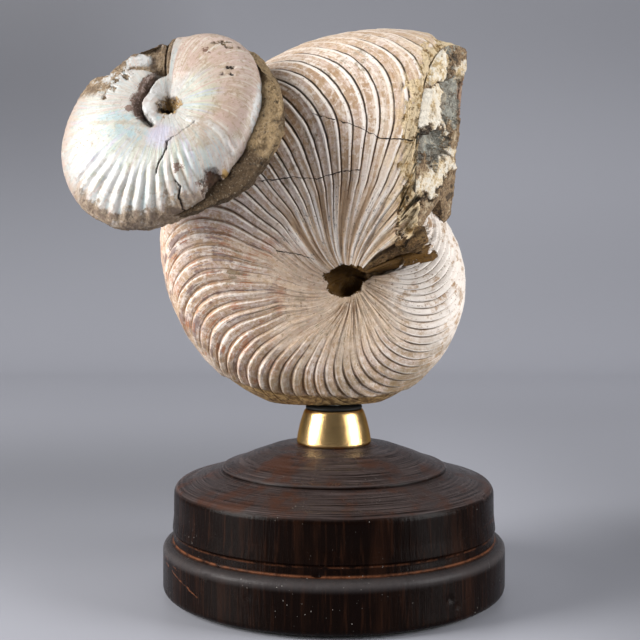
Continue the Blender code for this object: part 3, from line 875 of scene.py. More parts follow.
@dataclass(frozen=True)
class PearlFinish:
    """Mother-of-pearl with faint rainbow play, rosy edges and brown stone where it has gone."""

    white: Colour = (0.45, 0.408, 0.364)
    bright: Colour = (0.54, 0.532, 0.522)
    rose: Colour = (0.45, 0.33, 0.282)
    tan: Colour = (0.33, 0.245, 0.16)
    streak: Colour = (0.56, 0.48, 0.385)
    sea: Colour = (0.32, 0.43, 0.45)
    leaf: Colour = (0.42, 0.48, 0.34)
    lilac: Colour = (0.44, 0.41, 0.56)
    rust: Colour = (0.11, 0.045, 0.024)
    stone: Colour = (0.2, 0.125, 0.055)
    umber: Colour = (0.105, 0.06, 0.03)
    plum: Colour = (0.23, 0.145, 0.115)
    dark: Colour = (0.03, 0.018, 0.011)
    gold: Colour = (0.48, 0.3, 0.11)

    def build(self, shell: "SmallAmmonite") -> Material:
        """Builds the material.

        Args:
            shell: The ammonite, which says where its features are.

        Returns:
            The material.
        """
        paint = Surface("pearly_shell")
        rise, noise = paint.rise, paint.noise
        where = paint.where
        marks = shell.marks(paint, where, {name: paint.kept(name) for name in shell.kept_names})
        lines = paint.lines()
        streak = noise(lines, 1, 5, 0.64, 1)
        fine = noise(lines, 3.2, 4, 0.66, 6)
        cloud = noise(where, 60, 4, 0.62, 2)
        patch = noise(where, 170, 5, 0.68, 8)
        small = noise(where, 520, 4, 0.66, 14)
        grit = paint.placed(Effects.grit(), Where=where, Density=900)
        weathered = paint.coats(
            self.rose,
            (rise(cloud, 0.4, 0.62), self.tan),
            (rise(streak + fine * 0.4, 0.62, 0.82) * 0.75, self.streak),
            (rise(fine, 0.54, 0.7) * 0.4, self.tan),
        )
        blush = rise(patch + cloud * 0.5, 0.72, 0.82)
        silver = rise(fine + patch * 0.5, 0.72, 0.82)
        brown = rise(fine + small, 1.04, 1.14) * marks.rosy
        hue = noise(lines, 0.6, 2, 0.5, 12)
        rainbow = paint.scale_of(hue, (
            (0.32, self.lilac), (0.43, self.sea), (0.5, self.leaf), (0.58, self.white), (0.68, self.rose),
        ))
        freckle = rise(small, 0.565, 0.61) * (0.35 + marks.freckled * 0.65)
        earthy = paint.coats(
            self.stone,
            (rise(grit["Cloud"], 0.36, 0.62), self.tan),
            (rise(patch, 0.44, 0.6) * 0.8, self.umber),
        )
        lamella = paint.math("SINE", marks.past * 5 + patch * 9) * 0.5 + 0.5
        inside = paint.coats(self.plum, (lamella * 0.7, self.umber), (rise(small, 0.52, 0.6), self.rose))
        ruddy = paint.paint(rise(patch, 0.4, 0.58), self.umber, self.rust)
        hollow = paint.coats(
            self.gold,
            (rise(patch + small * 0.5, 0.66, 0.86), self.umber),
            (rise(small, 0.54, 0.62), self.streak),
        )

        dull = paint.any_of(marks.bare, marks.pit, marks.hole, marks.wall * 0.8, marks.edging * 0.6)
        height = streak * 0.25 + fine * 0.2 + patch * 0.35 + small * 0.2
        height = height + dull * grit["Relief"] * 1.3 - marks.gap * 0.8
        rough = 0.32 + dull * 0.45 + marks.rosy * 0.08 + small * 0.1
        colour = paint.coats(
            self.white,
            (marks.rosy, weathered),
            (rise(streak, 0.5, 0.68) * 0.5, self.bright),
            (blush * 0.8, self.rose),
            (silver * (1 - marks.rosy) * 0.6, self.sea),
            (brown * 0.7, self.tan),
            (marks.play * rise(cloud, 0.3, 0.5) * 0.7, rainbow),
            (marks.sea * rise(fine + patch, 0.75, 1.05) * 0.85, self.sea),
            (marks.lilac * 0.6, self.lilac),
            # painted shade in the fold troughs
            (marks.trough * 0.6, paint.paint(rise(cloud, 0.44, 0.56), self.sea, self.tan)),
            (marks.white * rise(patch, 0.56, 0.46) * 0.85, self.bright),
            (marks.tan * rise(patch, 0.34, 0.54) * 0.8, self.tan),
            (freckle * 0.8, self.stone),
            (marks.edging * rise(patch, 0.38, 0.46), earthy),
            (marks.bare, earthy),
            (marks.wall, inside),
            (marks.rust * 0.85, self.rust),
            (marks.hole, paint.paint(grit["Pits"], ruddy, self.dark)),
            (marks.gold, self.gold),
            (marks.pit, hollow),
            # dark cracks and spots, with the painted shadow line along the broken whorl's edge
            (marks.gap, self.dark),
        )
        return paint.finish(colour, rough, height, 0.0008, Coat_Weight=0.2, Coat_Roughness=0.25)


@dataclass(frozen=True)
class SandstoneFinish:
    """Gritty olive-brown sandstone with darker hollows and a few sparkling grains."""

    light: Colour = (0.37, 0.255, 0.13)
    brown: Colour = (0.085, 0.048, 0.018)
    dark: Colour = (0.024, 0.015, 0.007)
    grain: Colour = (0.55, 0.46, 0.33)

    def build(self) -> Material:
        """Builds the material.

        Returns:
            The material.
        """
        paint = Surface("sandstone")
        rise = paint.rise
        grit = paint.placed(Effects.grit(), Where=paint.where, Density=800)
        _, _, z = paint.split(paint.where)
        cloud = paint.noise(paint.where, 70, 4, 0.6, 2)
        share = rise(cloud + rise(z, 0.232, 0.212) * 0.22, 0.5, 0.64)
        sparkle = rise(paint.noise(paint.where, 900, 1, 0.5, 9), 0.66, 0.72)
        colour = paint.coats(
            self.light,
            (share, self.brown),
            (rise(grit["Cloud"], 0.5, 0.6) * 0.35, self.brown),
            (rise(grit["Cloud"], 0.46, 0.38) * 0.18, self.grain),
            (grit["Pits"] * 0.75, self.dark),
            (sparkle * 0.45, self.grain),
        )
        return paint.finish(colour, 0.9 - sparkle * 0.35, grit["Relief"] + cloud * 1.2, 0.0018)


@dataclass(frozen=True)
class WoodFinish:
    """Nearly black stained wood with turning marks, grain and orange wear on its steps, and painted sheen on its top,
    its lower shoulder and its raised ring.
    """

    stain: Colour = (0.004, 0.0017, 0.0011)
    grain: Colour = (0.027, 0.01, 0.0048)
    # The top's grey: turning marks, made lighter than the sides to stand in for the sheen the top reflects, so partly
    # painted sheen.
    turned: Colour = (0.112, 0.086, 0.082)
    ruddy: Colour = (0.06, 0.022, 0.011)
    worn: Colour = (0.17, 0.062, 0.028)
    scuff: Colour = (0.072, 0.064, 0.064)
    dust: Colour = (0.45, 0.42, 0.38)

    def build(self, sizes: "TurnedBase") -> Material:
        """Builds the material.

        Args:
            sizes: The base, whose steps carry the wear.

        Returns:
            The material.
        """
        paint = Surface("dark_wood")
        rise, noise, hump = paint.rise, paint.noise, paint.hump
        where = paint.where
        x, y, z = paint.split(where)
        radius = paint.length(x, y)
        around = paint.math("ARCTAN2", y, x)
        top = paint.kept("top")
        upright = noise(paint.stretch(where, (1, 1, 0.06)), 520, 4, 0.65, 1)
        broad = noise(paint.stretch(where, (1, 1, 0.12)), 90, 3, 0.6, 4)
        rings = noise(paint.vector(radius, around * 0.0006, 0), 1900, 4, 0.75, 2)
        cloud = noise(where, 60, 4, 0.6, 3)
        # The upward faces: turning marks on a lighter grey that is partly painted sheen.
        flat = paint.coats(
            self.stain,
            (rise(rings, 0.34, 0.74), self.turned),
            (rise(cloud + rings * 0.4, 0.68, 0.86) * 0.7, self.ruddy),
        )
        side = paint.coats(
            self.stain,
            (rise(upright, 0.5, 0.72) * 0.55, self.grain),
            (rise(broad, 0.5, 0.72) * 0.45, self.grain),
        )
        ragged = noise(where, 190, 4, 0.7, 6)
        step = hump(z, sizes.step_height, 0.0009) * rise(radius, 0.0828, 0.0832)
        line = hump(z, sizes.groove_height, 0.0008) * 0.35
        wear = step * rise(ragged, 0.28, 0.6) * 0.8 + line * rise(ragged, 0.42, 0.62)
        band = rise(noise(where, 14, 2, 0.5, 8), 0.42, 0.62)
        wear += hump(z, sizes.waist_height, 0.0012) * band * rise(ragged, 0.45, 0.6) * 0.3
        # Painted sheen: a faint grey highlight along the lower disc's rounded shoulder, and a weaker one on the top's
        # raised ring.
        shoulder = hump(z, sizes.shoulder_height, 0.0042) * rise(radius, 0.083, 0.085)
        scuff = shoulder * (0.5 + ragged * 0.5)
        ring = hump(radius, sizes.ring_radius, 0.0016) * top
        dust = paint.placed(Effects.dust(), Where=where, Amount=1)
        height = upright * (1 - top) * 0.5 + rings * top * 0.7 + cloud * 0.2 - wear * 0.3
        rough = 0.2 + cloud * 0.12 + dust["Patches"] * 0.05 + wear * 0.3
        colour = paint.coats(
            side,
            (top, flat),
            (paint.least(wear, 1), self.worn),
            (scuff * 0.8 + ring * 0.25, self.scuff),
            (self.scratches(paint) * rise(ragged, 0.4, 0.56) * 0.6, self.worn),
            (dust["Specks"] * 0.8, self.dust),
        )
        return paint.finish(colour, rough, height, 0.0006, Specular_IOR_Level=0.05)

    def scratches(self, paint: Surface) -> Wire:
        """Long light scratches on the lower disc's left side.

        Args:
            paint: The material.

        Returns:
            1 in a scratch.
        """
        x, _, z = paint.split(paint.where)
        wander = paint.noise(paint.where, 300, 3, 0.6, 17) - 0.5
        across, up = x + wander * 0.002, z + wander * 0.002
        long = paint.crack(across, up, ((-0.087, 0.0225), (-0.08, 0.0195), (-0.0665, 0.0125)), 0.0004)
        short = paint.crack(across, up, ((-0.085, 0.0245), (-0.077, 0.0215)), 0.0003)
        return paint.most(long, short * 0.7)


@dataclass(frozen=True)
class MetalFinish:
    """Turned metal with fine marks round its axis."""

    name: str
    colour: Colour
    tarnish: Colour
    rough: float
    tint: Colour = (1.0, 1.0, 1.0)
    marks: float = 0.7

    def build(self) -> Material:
        """Builds the material.

        Returns:
            The material.
        """
        paint = Surface(self.name)
        x, y, z = paint.split(paint.where)
        around = paint.math("ARCTAN2", y, x)
        marks = paint.noise(paint.vector(around * 0.0015, z, 0), 9000, 3, 0.7, 1)
        cloud = paint.noise(paint.where, 160, 4, 0.6, 2)
        rough = self.rough + marks * 0.12 + cloud * 0.05
        colour = paint.coats(
            self.colour,
            (paint.rise(cloud, 0.45, 0.75) * 0.5, self.tarnish),
            (paint.rise(marks, 0.5, 0.7) * 0.25, self.tarnish),
        )
        return paint.finish(colour, rough, marks * self.marks, 0.00008, Metallic=1, Specular_Tint=self.tint)


@dataclass(frozen=True)
class SoftFinish:
    """Rubber or felt: dark and matt, with a fine surface."""

    name: str
    colour: Colour
    light: Colour
    rough: float
    density: float
    depth: float
    sheen: float = 0.0

    def build(self) -> Material:
        """Builds the material.

        Returns:
            The material.
        """
        paint = Surface(self.name)
        fibres = paint.noise(paint.where, self.density, 5, 0.7, 1)
        cloud = paint.noise(paint.where, 120, 3, 0.6, 3)
        rough = self.rough + cloud * 0.08
        colour = paint.coats(
            self.colour,
            (paint.rise(fibres, 0.42, 0.7), self.light),
            (paint.rise(cloud, 0.5, 0.75) * 0.3, self.light),
        )
        return paint.finish(colour, rough, fibres, self.depth, Sheen_Weight=self.sheen, Specular_IOR_Level=0.15)


# ------------------------------------------------------------------ the nautilus


@dataclass
class NautilusHalf:
    """The ribbed half shell, with its umbilicus, its body chamber's end and its flat cut."""

    coil_x: float
    coil_z: float
    cut_y: float
    seat_z: float
    lean: float = 5.0
    expansion: float = 2.58
    start_radius: float = 0.0593
    width_ratio: float = 0.54
    crest_ratio: float = 0.42
    squareness: float = 2.8
    umbilicus_radius: float = 0.0089
    umbilicus_depth: float = 0.028
    shoulder_base: float = 0.0185
    shoulder_share: float = 0.62
    shell_end: float = 316.0
    early_start: float = 345.0
    edge_turn: float = 290.0
    break_x: float = 0.0648
    break_z: float = 0.235
    break_slope_y: float = 0.29
    break_twist: float = 1.2
    break_slope_z: float = 0.083
    shell_thickness: float = 0.0024
    rib_turn: float = 5.0
    rib_crowd: float = 0.757
    rib_start: float = 10.0
    rib_height: float = 0.00078
    rope_height: float = 0.00034
    pearl_height: float = 0.0004
    chip_depth: float = 0.00055
    swell: float = 0.0011
    wrinkle_height: float = 0.0052
    rock_relief: float = 0.006
    bare_depth: float = 0.0012
    under_depth: float = 0.0022
    ground_depth: float = 0.0006
    stone_turn: float = 353.0
    tip_across: float = 0.0365
    columns: int = 864
    rows: int = 112
    kept_names: ClassVar[tuple[str, ...]] = ("passed", "turn", "span", "early", "hollow", "rope", "pearl")

    def sweep(self, graph: Graph, turn: Wire, span: Wire) -> Wire:
        """How many degrees a rib has run forward of its own angle.

        Args:
            graph: The tree.
            turn: Growth angle in degrees.
            span: 0 at the umbilicus, 1 at the widest point, 2 at the cut plane.

        Returns:
            Degrees, below 0 where the rib falls back.
        """
        late = graph.rise(turn, 60, 150) - graph.rise(turn, 308, 346)
        inner = graph.most(1.19 - span, 0) ** 1.8 * (24 - graph.rise(turn, 170, 250) * 12)
        size = 44 + graph.hump(turn, 130, 60) * 8 - graph.rise(turn, 180, 240) * 7
        outer = graph.most(span - 1.02 - late * 0.1, 0) ** (1.2 + late * 0.5) * size
        return -(inner * late) - outer

    def ribs_passed(self, graph: Graph, turn: Wire) -> Wire:
        """The number of ribs up to a rib angle, closer together on the body chamber."""
        return (turn + self.rib_start) / self.rib_turn - graph.sine(turn - 125) * self.rib_crowd

    def rib_angle(self, graph: Graph, count: Wire) -> Wire:
        """The rib angle of a rib number, the reverse of ribs_passed.

        Args:
            graph: The tree.
            count: The rib number.

        Returns:
            The angle in degrees.
        """
        even, crowd = count * self.rib_turn - self.rib_start, self.rib_crowd * self.rib_turn
        near = even + graph.sine(even - 125) * crowd
        return even + graph.sine(near - 125) * crowd

    def whorl_reach(self, grow: Growth, radius: Wire, out: Wire) -> Wire:
        """Radius of a whorl's outer side at a height above the cut plane.

        Args:
            grow: The tree.
            radius: Radius of the whorl on the cut plane.
            out: The height.

        Returns:
            The radius, or 0 above the whorl.
        """
        square = self.squareness
        level = grow.least(out / (radius * grow.size("width_ratio")), 1)
        bulge = grow.most(1 - level ** square, 0) ** (1 / square)
        crest = grow.size("crest_ratio")
        reach = radius * (crest + (1 - crest) * bulge)
        return reach * (1 - (level > 0.999))

    def break_reach(self, grow: Growth, turn: Wire, out: Wire) -> Wire:
        """Where a ray from the coil's axis meets the broken face.

        Args:
            grow: The tree.
            turn: The ray's growth angle.
            out: Its height above the cut plane.

        Returns:
            The radius there.
        """
        size = grow.size
        slope_z = size("break_slope_z")
        facing = grow.cosine(turn) + (slope_z - size("break_twist") * out) * grow.sine(turn)
        run = size("break_x") - size("coil_x") - size("break_slope_y") * out
        run -= slope_z * (size("break_z") - size("coil_z"))
        far = (grow.most(facing - 0.04, 0) * grow.rise(turn, 269, 270)) < 0.001
        return run / grow.most(facing, 0.04) + far * 9

    def world(self, grow: Growth, across: Wire, out: Wire, up: Wire) -> Wire:
        """The place in space of a point given about the coil's axis.

        Args:
            grow: The tree.
            across: Across, from the axis.
            out: Out from the cut plane.
            up: Up, from the axis.

        Returns:
            The place.
        """
        tilt = self.lean * DEGREE
        depth = up * math.sin(tilt) + out * math.cos(tilt)
        height = up * math.cos(tilt) - out * math.sin(tilt)
        return grow.vector(grow.size("coil_x") + across, grow.size("cut_y") - depth, grow.size("coil_z") + height)

    def own(self, graph: Graph, where: Wire) -> tuple[Wire, Wire, Wire]:
        """A place given about the coil's axis, the reverse of world.

        Args:
            graph: The tree.
            where: The place in space.

        Returns:
            Across, out and up.
        """
        x, y, z = graph.split(where)
        tilt = self.lean * DEGREE
        depth, height = self.cut_y - y, z - self.coil_z
        out = depth * math.cos(tilt) - height * math.sin(tilt)
        return x - self.coil_x, out, depth * math.sin(tilt) + height * math.cos(tilt)

    def break_plane(self, out: Wire, up: Wire) -> Wire:
        """How far across the broken face lies at a place given about the coil's axis."""
        base = self.break_x - self.coil_x - self.break_slope_z * (self.break_z - self.coil_z)
        return base - self.break_slope_y * out + (self.break_slope_z - self.break_twist * out) * up

    def grown(self, grow: Growth, turn: Wire, sooner: Value = 0.0, wider: Value = 0.0) -> tuple[Wire, Wire, Wire]:
        """The whorls at a growth angle, and the step between them at the body chamber's end.

        Args:
            grow: The tree.
            turn: The growth angle.
            sooner: Degrees by which the step ends sooner.
            wider: Degrees by which it is wider on both sides.

        Returns:
            Radius of the shown whorl, radius of the earlier one, and the share of the step.
        """
        size = grow.size
        full = size("start_radius") * size("expansion") ** (turn / 360)
        peeled = size("shell_thickness") * grow.rise(turn, 288, 291)
        early = size("start_radius") * size("expansion") ** ((turn - 360) / 360)
        step_down = grow.rise(turn, size("shell_end") - wider, size("early_start") - sooner + wider)
        return grow.blend(step_down, full - peeled, early), early, step_down

    def late_end(self, graph: Graph, out: Wire) -> Wire:
        """The turn at which the broken face ends below."""
        return 334 - graph.rise(out, 0.012, 0.025) * 13

    def build(self, shell: Material, section: Material) -> Object:
        """Grows the half shell.

        Args:
            shell: The shell's material.
            section: The flat cut's material.

        Returns:
            The finished piece.
        """
        grow = Growth("nautilus growth", self, self.columns, self.rows)
        rise, most, least, size, cosine, blend = grow.rise, grow.most, grow.least, grow.size, grow.cosine, grow.blend
        pit_end, flank_end = 0.075, 0.915
        span = (grow.down - pit_end) / (flank_end - pit_end) * 2
        inside_cut = rise(grow.down, flank_end, 1)
        into_pit = rise(grow.down, pit_end, 0)
        span = least(most(span, 0), 2)

        count = grow.round * (360 / self.rib_turn)
        count -= grow.math("SINE", count * FULL_TURN) * 0.09
        rib_angle = self.rib_angle(grow, count)
        swept = self.sweep(grow, rib_angle, span)
        held = rise(rib_angle, -12, 68) * rise(rib_angle, 346, 306)
        turn = rib_angle + held * swept
        radius, early, step_down = self.grown(grow, turn, rise(span, 1.3, 1.55) * 18, rise(span, 0.6, 0.05) * 11)
        width = radius * size("width_ratio")
        crest = radius * size("crest_ratio")
        wall_top = least(width * 0.94, size("shoulder_base") + size("shoulder_share") * width)

        power = 2 / self.squareness
        quarter = (2 - most(span, 1)) * 90
        outer_out = width * most(grow.sine(quarter), 0) ** power
        outer_reach = crest + (radius - crest) * most(cosine(quarter), 0) ** power
        inner = most(1 - span, 0)
        umbilicus = size("umbilicus_radius") - cosine(turn) * 0.0022
        inner_out = width + (wall_top - width) * inner * inner
        inner_reach = crest + (umbilicus - crest) * inner
        is_inner = span < 1
        out = blend(is_inner, outer_out, inner_out)
        reach = blend(is_inner, outer_reach, inner_reach)
        out = blend(rise(into_pit, 0, 0.5), out, size("umbilicus_depth"))
        reach *= 1 - rise(into_pit, 0.35, 1) * 0.85

        tip = size("tip_across") / most(cosine(turn), 0.3) + rise(turn, 322, 320.5)
        bound = self.break_reach(grow, turn, out)
        bound -= rise(reach - bound, 0.003, 0.0052) * 0.0076 / most(cosine(turn), 0.3)
        clipped = least(least(reach, bound), tip)
        early_side = self.whorl_reach(grow, early, out) * (turn > 286)
        side_early = (early_side > clipped - 0.0003) * (1 - is_inner)
        on_early = most(side_early, rise(step_down, 0.93, 1))
        reach = most(clipped, early_side)
        sine = grow.sine(turn)
        down = most(sine * math.cos(self.lean * DEGREE), 0.0001)
        seat = (size("coil_z") - size("seat_z") - out * math.sin(self.lean * DEGREE)) / down
        reach = least(reach, seat + (sine < 0.2) * 9)
        reach = reach * (1 - inside_cut) * grow.rim
        out *= 1 - (inside_cut > 0)

        level = least(out / (early * size("width_ratio")), 1)
        early_span = 2 - grow.math("ARCSINE", level ** (1 / power)) / (90 * DEGREE)
        shown_span = blend(on_early, span, early_span)
        own_turn = turn - 360 * on_early
        late_rib = turn - swept
        early_rib = turn - 360 - self.sweep(grow, turn - 360, early_span)
        rib = blend(on_early, late_rib, early_rib)
        place = self.world(grow, reach * cosine(turn), out, -(reach * sine))

        kept = {name: grow.keep(name, value) for name, value in (
            ("passed", self.ribs_passed(grow, rib)), ("turn", own_turn), ("span", shown_span),
            ("early", side_early), ("hollow", into_pit),
        )}
        kept["rope"] = grow.keep("rope", rise(kept["turn"], 48, 84) * rise(kept["turn"], 236, 184))
        kept["pearl"] = grow.keep("pearl", rise(kept["turn"], 66, 20) * rise(kept["span"], 0.35, 1.12))
        cut = grow.keep("cut", rise(grow.down, flank_end, flank_end + 0.003))
        lines = grow.keep_lines(rib, 38, kept["span"] * 1.6)
        grow.move(place)
        self.relief(grow, cut, lines, kept)
        return grow.bake("nautilus_shell", shell, second=(cut, section))

    def marks(self, graph: Graph, where: Wire, kept: dict[str, Wire]) -> Shares:
        """Where the ribs, the bare stone and the umbilicus are, for the relief and the finish alike.

        Args:
            graph: The tree that asks.
            where: The place.
            kept: Values kept on the points. passed counts the ribs, turn is the growth angle, span runs
                from the umbilicus to the cut plane, early is 1 on the earlier whorl past the body
                chamber's end, hollow is 1 in the umbilicus, rope is 1 where the ribs are round and
                thick, and pearl is 1 where the pale inner shell shows.

        Returns:
            Shares by name.
        """
        rise, most = graph.rise, graph.most
        turn, span, early, hollow, rope = (kept[name] for name in ("turn", "span", "early", "hollow", "rope"))
        across, out, up = self.own(graph, where)
        whorl = graph.math("ARCTAN2", -up, across) / DEGREE + 360
        wobble = graph.noise(where, 60, 3, 0.6, 4) - 0.5
        ragged = graph.noise(where, 110, 4, 0.7, 14) - 0.5
        count = kept["passed"] + 64 + wobble * 0.26 + graph.noise(where, 20, 1, 0.5, 24)
        phase = graph.math("FRACT", count)
        luck = graph.luck(graph.math("FLOOR", count))
        late = rise(turn, 195, 225)
        start = graph.blend(late, 0.84, 0.16) + luck * graph.blend(late, 0.2, 0.4)
        fade = rise(span, start, start + graph.blend(late, 0.24, 0.4))
        lost = rise(luck, 0.42, 0.3) * rise(span, 0.98, 0.72)
        fade = fade * (1 - rise(span, 1.5, 1.8) * 0.3) * (1 - lost)
        near = graph.least(phase, 1 - phase)
        groove = rise(near, 0.08 + luck * 0.06 + rope * 0.05, 0.02)

        flank = rise(span, 1.08, 0.92)
        edge = self.edge_turn + flank * 26 + ragged * 9 - rise(span, 0.6, 0.05) * 11
        low = self.stone_turn + rise(span, 1, 0.3) * 7 + rise(span, 0.3, 0) * 20
        low = low + ragged * 8 - rise(span, 1, 1.06) * 10 - rise(span, 1.3, 1.55) * 14
        between = rise(whorl, edge - 0.4, edge + 0.4) * rise(whorl, low + 0.5, low - 0.5)
        between *= 1 - early
        broken = rise(across - self.break_plane(out, up), -0.0014, -0.0006)
        broken = most(broken, rise(whorl, 317, 320)) * between
        outer = rise(span, 1.03, 1.09)
        beside = across - self.break_plane(out, up) + ragged * 0.02 + wobble * 0.03
        strip = rise(beside, -0.0064, -0.0058) * graph.within(whorl, 268, 319) * (1 - early)
        worn = rise(beside, -0.03, -0.006) * graph.within(whorl, 280, 322, 9) * (1 - early)
        shown = rise(across + ragged * 0.01, 0.0445, 0.0425)
        shown = most(shown, rise(whorl, 323, 321))
        stone = most(between * (1 - outer) * (1 - strip), broken) * shown
        under = graph.hump(whorl, edge + 3, 4.5) * (1 - outer)
        under = most(under, graph.hump(whorl, low - 2.5, 4) * rise(span, 0.2, 0.4)) * stone
        level = graph.split(where)[2] + ragged * 0.004 - (across * across) * 2.2
        ground = rise(level, self.seat_z + 0.0066, self.seat_z + 0.0044)
        pit = most(rise(hollow + ragged * 0.3, 0.04, 0.16), rise(span + ragged * 0.7, 0.02, 0))
        return Shares(
            groove=groove, ridge=graph.hump(phase, 0.82, 0.22) * (1 - rope * 0.4), fade=fade,
            phase=phase, luck=luck, late=late, stone=stone, under=under, pit=pit, worn=worn,
            layer=most(between * outer, strip) * (1 - broken), ground=ground * (1 - hollow),
        )

    def relief(self, grow: Growth, cut: Wire, lines: Wire, kept: dict[str, Wire]) -> None:
        """Raises the ribs and roughens the bare stone.

        Args:
            grow: The tree, with the plain shape in place.
            cut: 1 on the flat cut.
            lines: Place along and across the growth lines.
            kept: The values that marks reads.
        """
        where, size = grow.place(), grow.size
        marks = self.marks(grow, where, kept)
        chips = grow.noise(where, 230, 4, 0.65, 6)
        broad = grow.noise(where, 26, 2, 0.5, 9) - 0.5
        phase, rope, pearl = marks.phase, kept["rope"], kept["pearl"]
        leaning = grow.most(grow.math("SINE", phase * phase * math.pi), 0) ** 0.7
        profile = grow.blend(grow.most(rope, pearl * 0.8), phase * 0.3 + marks.ridge * 0.42, leaning)
        tall = size("rib_height") + rope * size("rope_height") + pearl * size("pearl_height")
        tall *= 0.7 + marks.luck * 0.6
        height = (profile - marks.groove * (1.1 - rope * 0.4)) * tall * (marks.fade * 0.92 + 0.08)
        wrinkles = (grow.noise(lines, 0.32, 2, 0.5, 7) - 0.5) * (1 - marks.fade * 0.8)
        wrinkles *= grow.rise(kept["span"], 1.3, 0.9) * grow.rise(kept["span"], 0, 0.3)
        height += wrinkles * size("wrinkle_height")
        smooth = (1 - marks.stone) * (1 - marks.ground) * (1 - marks.pit) * (1 - marks.layer)
        chipped = grow.rise(chips, 0.62, 0.72) * (0.35 + pearl * 0.5) * marks.fade
        lift = height - chipped * size("chip_depth") + broad * size("swell") + (chips - 0.5) * 0.0009
        grains = grow.noise(where, 480, 3, 0.7, 16) - 0.5
        rocky = grow.most(marks.stone, marks.pit) * ((chips - 0.62) * size("rock_relief") + grains * 0.0026)
        lift = lift * smooth + rocky - marks.stone * size("bare_depth") - marks.under * size("under_depth")
        lift += marks.layer * ((chips - 0.5) * size("rock_relief") - 0.0004)
        lift -= marks.ground * (size("ground_depth") + chips * 0.0004)
        grow.push(lift * (1 - cut))


